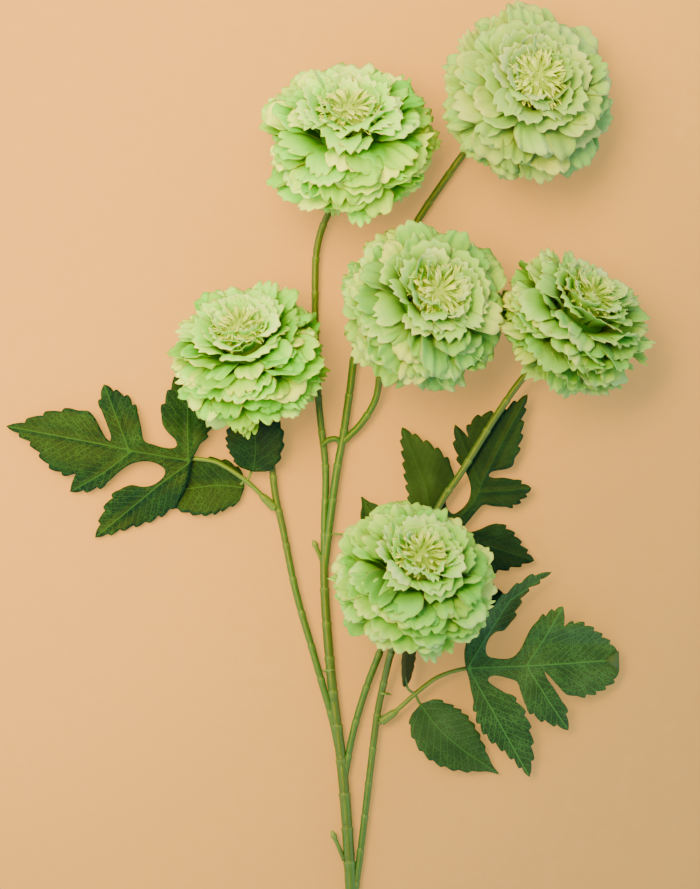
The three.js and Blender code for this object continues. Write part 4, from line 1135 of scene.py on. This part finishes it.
rimmed = add(tree, "Mix", {0: rim_share, 6: clean, 7: to_linear("#A88258")}, **COLOURS)
# Painted shade: the lowest tiers, under the ball, are mixed toward a deeper green.
under_ball_shade_share = add(tree, "MapRange", {"Value": fresh, "From Min": -14.0, "From Max": -22.0, "To Max": 0.5})
under_ball_shaded = add(tree, "Mix", {0: under_ball_shade_share, 6: rimmed, 7: to_linear("#669428")}, **COLOURS)
faded_share = add(tree, "Math", {0: faded, 1: 0.7}, operation="MULTIPLY")
petal_colour = add(tree, "Mix", {0: faded_share, 6: under_ball_shaded, 7: to_linear("#82A486")}, **COLOURS)
thread_place = add(tree, "Math", {0: across, 1: 2 * math.pi / THREAD_PITCH}, operation="MULTIPLY")
threads = add(tree, "Math", {0: thread_place}, operation="SINE")
thread_bump = add(tree, "Bump", {"Height": threads, "Strength": 0.12, "Distance": 0.1 * MM})
cloth = add(tree, "BsdfPrincipled", {
    "Base Color": petal_colour, "Roughness": 0.6, "Specular IOR Level": 0.3, "Normal": thread_bump,
})
glow = add(tree, "BsdfTranslucent", {"Color": petal_colour})
add(tree, "OutputMaterial", {"Surface": add(tree, "MixShader", {0: 0.13, 1: cloth, 2: glow})})

petal_faces = turned_over(grid_faces(PETAL_ROWS, PETAL_COLUMNS))
for number, bloom in enumerate(BLOOMS, 1):
    draw = np.random.default_rng(100 + 7 * number)
    none = np.zeros(len(CORE_PROFILE))
    inside = {"along": none, "across": none, "rim": none + 9, "tone": none, "fresh": none, "faded": none}
    core = skin(turned_rings(CORE_PROFILE, CORE_SIDES), 0.0, **inside)
    core["points"] = on_bloom(bloom, core["points"])
    shapes = [core]
    away = math.atan2(-bloom["lean"][1], -bloom["lean"][0])
    for order, tier in enumerate(TIERS):
        petals, parted = tier[0], tier[-1]
        start = draw.uniform(0, 2 * math.pi)
        if parted:
            start = away + (order % 2) * math.pi / petals + some(draw, 0.05)
        for k in range(petals):
            angle = start + 2 * math.pi * (k + some(draw, 0.2)) / petals
            parting = bloom["parting"] * float(eased(math.cos(angle - away), 0.1, 0.9))
            middle, marks = petal(tier, angle, parting, bloom["faded"], draw)
            clearance = CLEAR_OF_TABLE + 0.15 * draw.random()
            middle = kept_above(clearance, on_bloom(bloom, middle))
            shapes.append(thin_sheet(middle, petal_faces, PETAL_THICKNESS, **marks))
    piece(f"petals_{number}", joined(shapes), dyed_satin, f"bloom_{number}_petals")

# ---------------------------------------------------------------- eyes
# The centre of each head is a strip of the same cloth, cut to a fringe of narrow straps and rolled
# up into a tuft. The straps' ends are snipped into points and splay over the innermost petals.

STRAPS = 54
THREADS = 44
STRAP_ROWS = 9
STRAP_COLUMNS = 7
STRAP_LENGTH = (5.6, 7.8)
STRAP_HALF = (0.7, 1.35)
THREAD_LENGTH = (6.5, 8.6)
THREAD_HALF = 0.2
TURN_PER_STRAP = 2.4
TUFT_RADIUS = 9.4
TUFT_HEIGHT = 20.3
TUFT_SIDES = 32
EYE_PROFILE = [(2, 7.9), (9.5, 7.9), (10.4, 15), (8.6, 18.4), (4, 20.4)]

# Yellow-green dyed polyester: deeper at the foot of the tuft and almost cream at the snipped ends.
fringed_polyester, tree = new_material("fringed_polyester")
along, tone = (add(tree, "Attribute", gives="Fac", attribute_name=mark) for mark in ("along", "tone"))
tone_shift = add(tree, "Math", {0: tone, 1: 0.35, 2: -0.15}, operation="MULTIPLY_ADD")
dye = add(tree, "Math", {0: along, 1: tone_shift}, operation="ADD")
strap_colour = add(tree, "ValToRGB", {"Fac": dye}, stops=[
    (0.1, "#8CC028"), (0.45, "#B8E452"), (0.75, "#CEF07C"), (1.0, "#E2F8AA"),
])
cloth = add(tree, "BsdfPrincipled", {
    "Base Color": strap_colour, "Roughness": 0.6, "Specular IOR Level": 0.3,
})
glow = add(tree, "BsdfTranslucent", {"Color": strap_colour})
add(tree, "OutputMaterial", {"Surface": add(tree, "MixShader", {0: 0.22, 1: cloth, 2: glow})})


def strap(share, angle, wide, length, curl, columns, draw):
    """A narrow strap of the fringe, snipped to points and splayed outwards."""
    s = np.linspace(0, 1, STRAP_ROWS)[:, None]
    t = np.linspace(-1, 1, columns)[None, :]
    snips = np.abs(np.cos(math.pi * (t + 1) / 2 * draw.choice([1.0, 1.5, 2.0])))
    snips = 1 - np.abs(t) if draw.random() < 0.45 else snips
    a = s * (0.7 + 0.3 * snips)
    foot = TUFT_RADIUS * share
    lean = math.radians(12 + 46 * share + some(draw, 14)) + 0.5 * a
    facing = angle + some(draw, 0.5)
    sway = some(draw, 1.4) * a**2 + curl * np.sin(4.5 * a + draw.uniform(0, 6)) * a
    x = t * wide * (0.75 + 0.45 * a) + sway
    reach = foot + length * a * np.sin(lean) + 0.3 * wide * t**2
    height = TUFT_HEIGHT - 0.045 * foot**2 + length * a * np.cos(lean)
    middle = np.stack([
        reach * math.cos(angle) - x * math.sin(facing),
        reach * math.sin(angle) + x * math.cos(facing),
        height,
    ], -1)
    marks = {"along": a.ravel(), "tone": np.full(a.size, draw.random())}
    return thin_sheet(middle.reshape(-1, 3), turned_over(grid_faces(STRAP_ROWS, columns)), 0.16, **marks)


for number, bloom in enumerate(BLOOMS, 1):
    draw = np.random.default_rng(200 + 11 * number)
    rings = turned_rings(EYE_PROFILE, TUFT_SIDES)
    shapes = [skin(rings, 0.0, along=np.full(len(rings), 0.4), tone=np.zeros(len(rings)))]
    for k in range(STRAPS):
        share = math.sqrt((k + 0.5) / STRAPS)
        length = draw.uniform(*STRAP_LENGTH)
        half = draw.uniform(*STRAP_HALF)
        shapes.append(strap(share, TURN_PER_STRAP * k, half, length, 0.3, STRAP_COLUMNS, draw))
    for k in range(THREADS):
        share = 0.85 * math.sqrt((k + 0.5) / THREADS)
        length = draw.uniform(*THREAD_LENGTH)
        shapes.append(strap(share, TURN_PER_STRAP * k + 1, THREAD_HALF, length, 1.2, 2, draw))
    shape = joined(shapes)
    shape["points"] = on_bloom(bloom, shape["points"])
    piece(f"eye_tuft_{number}", shape, fringed_polyester, f"bloom_{number}_eye")
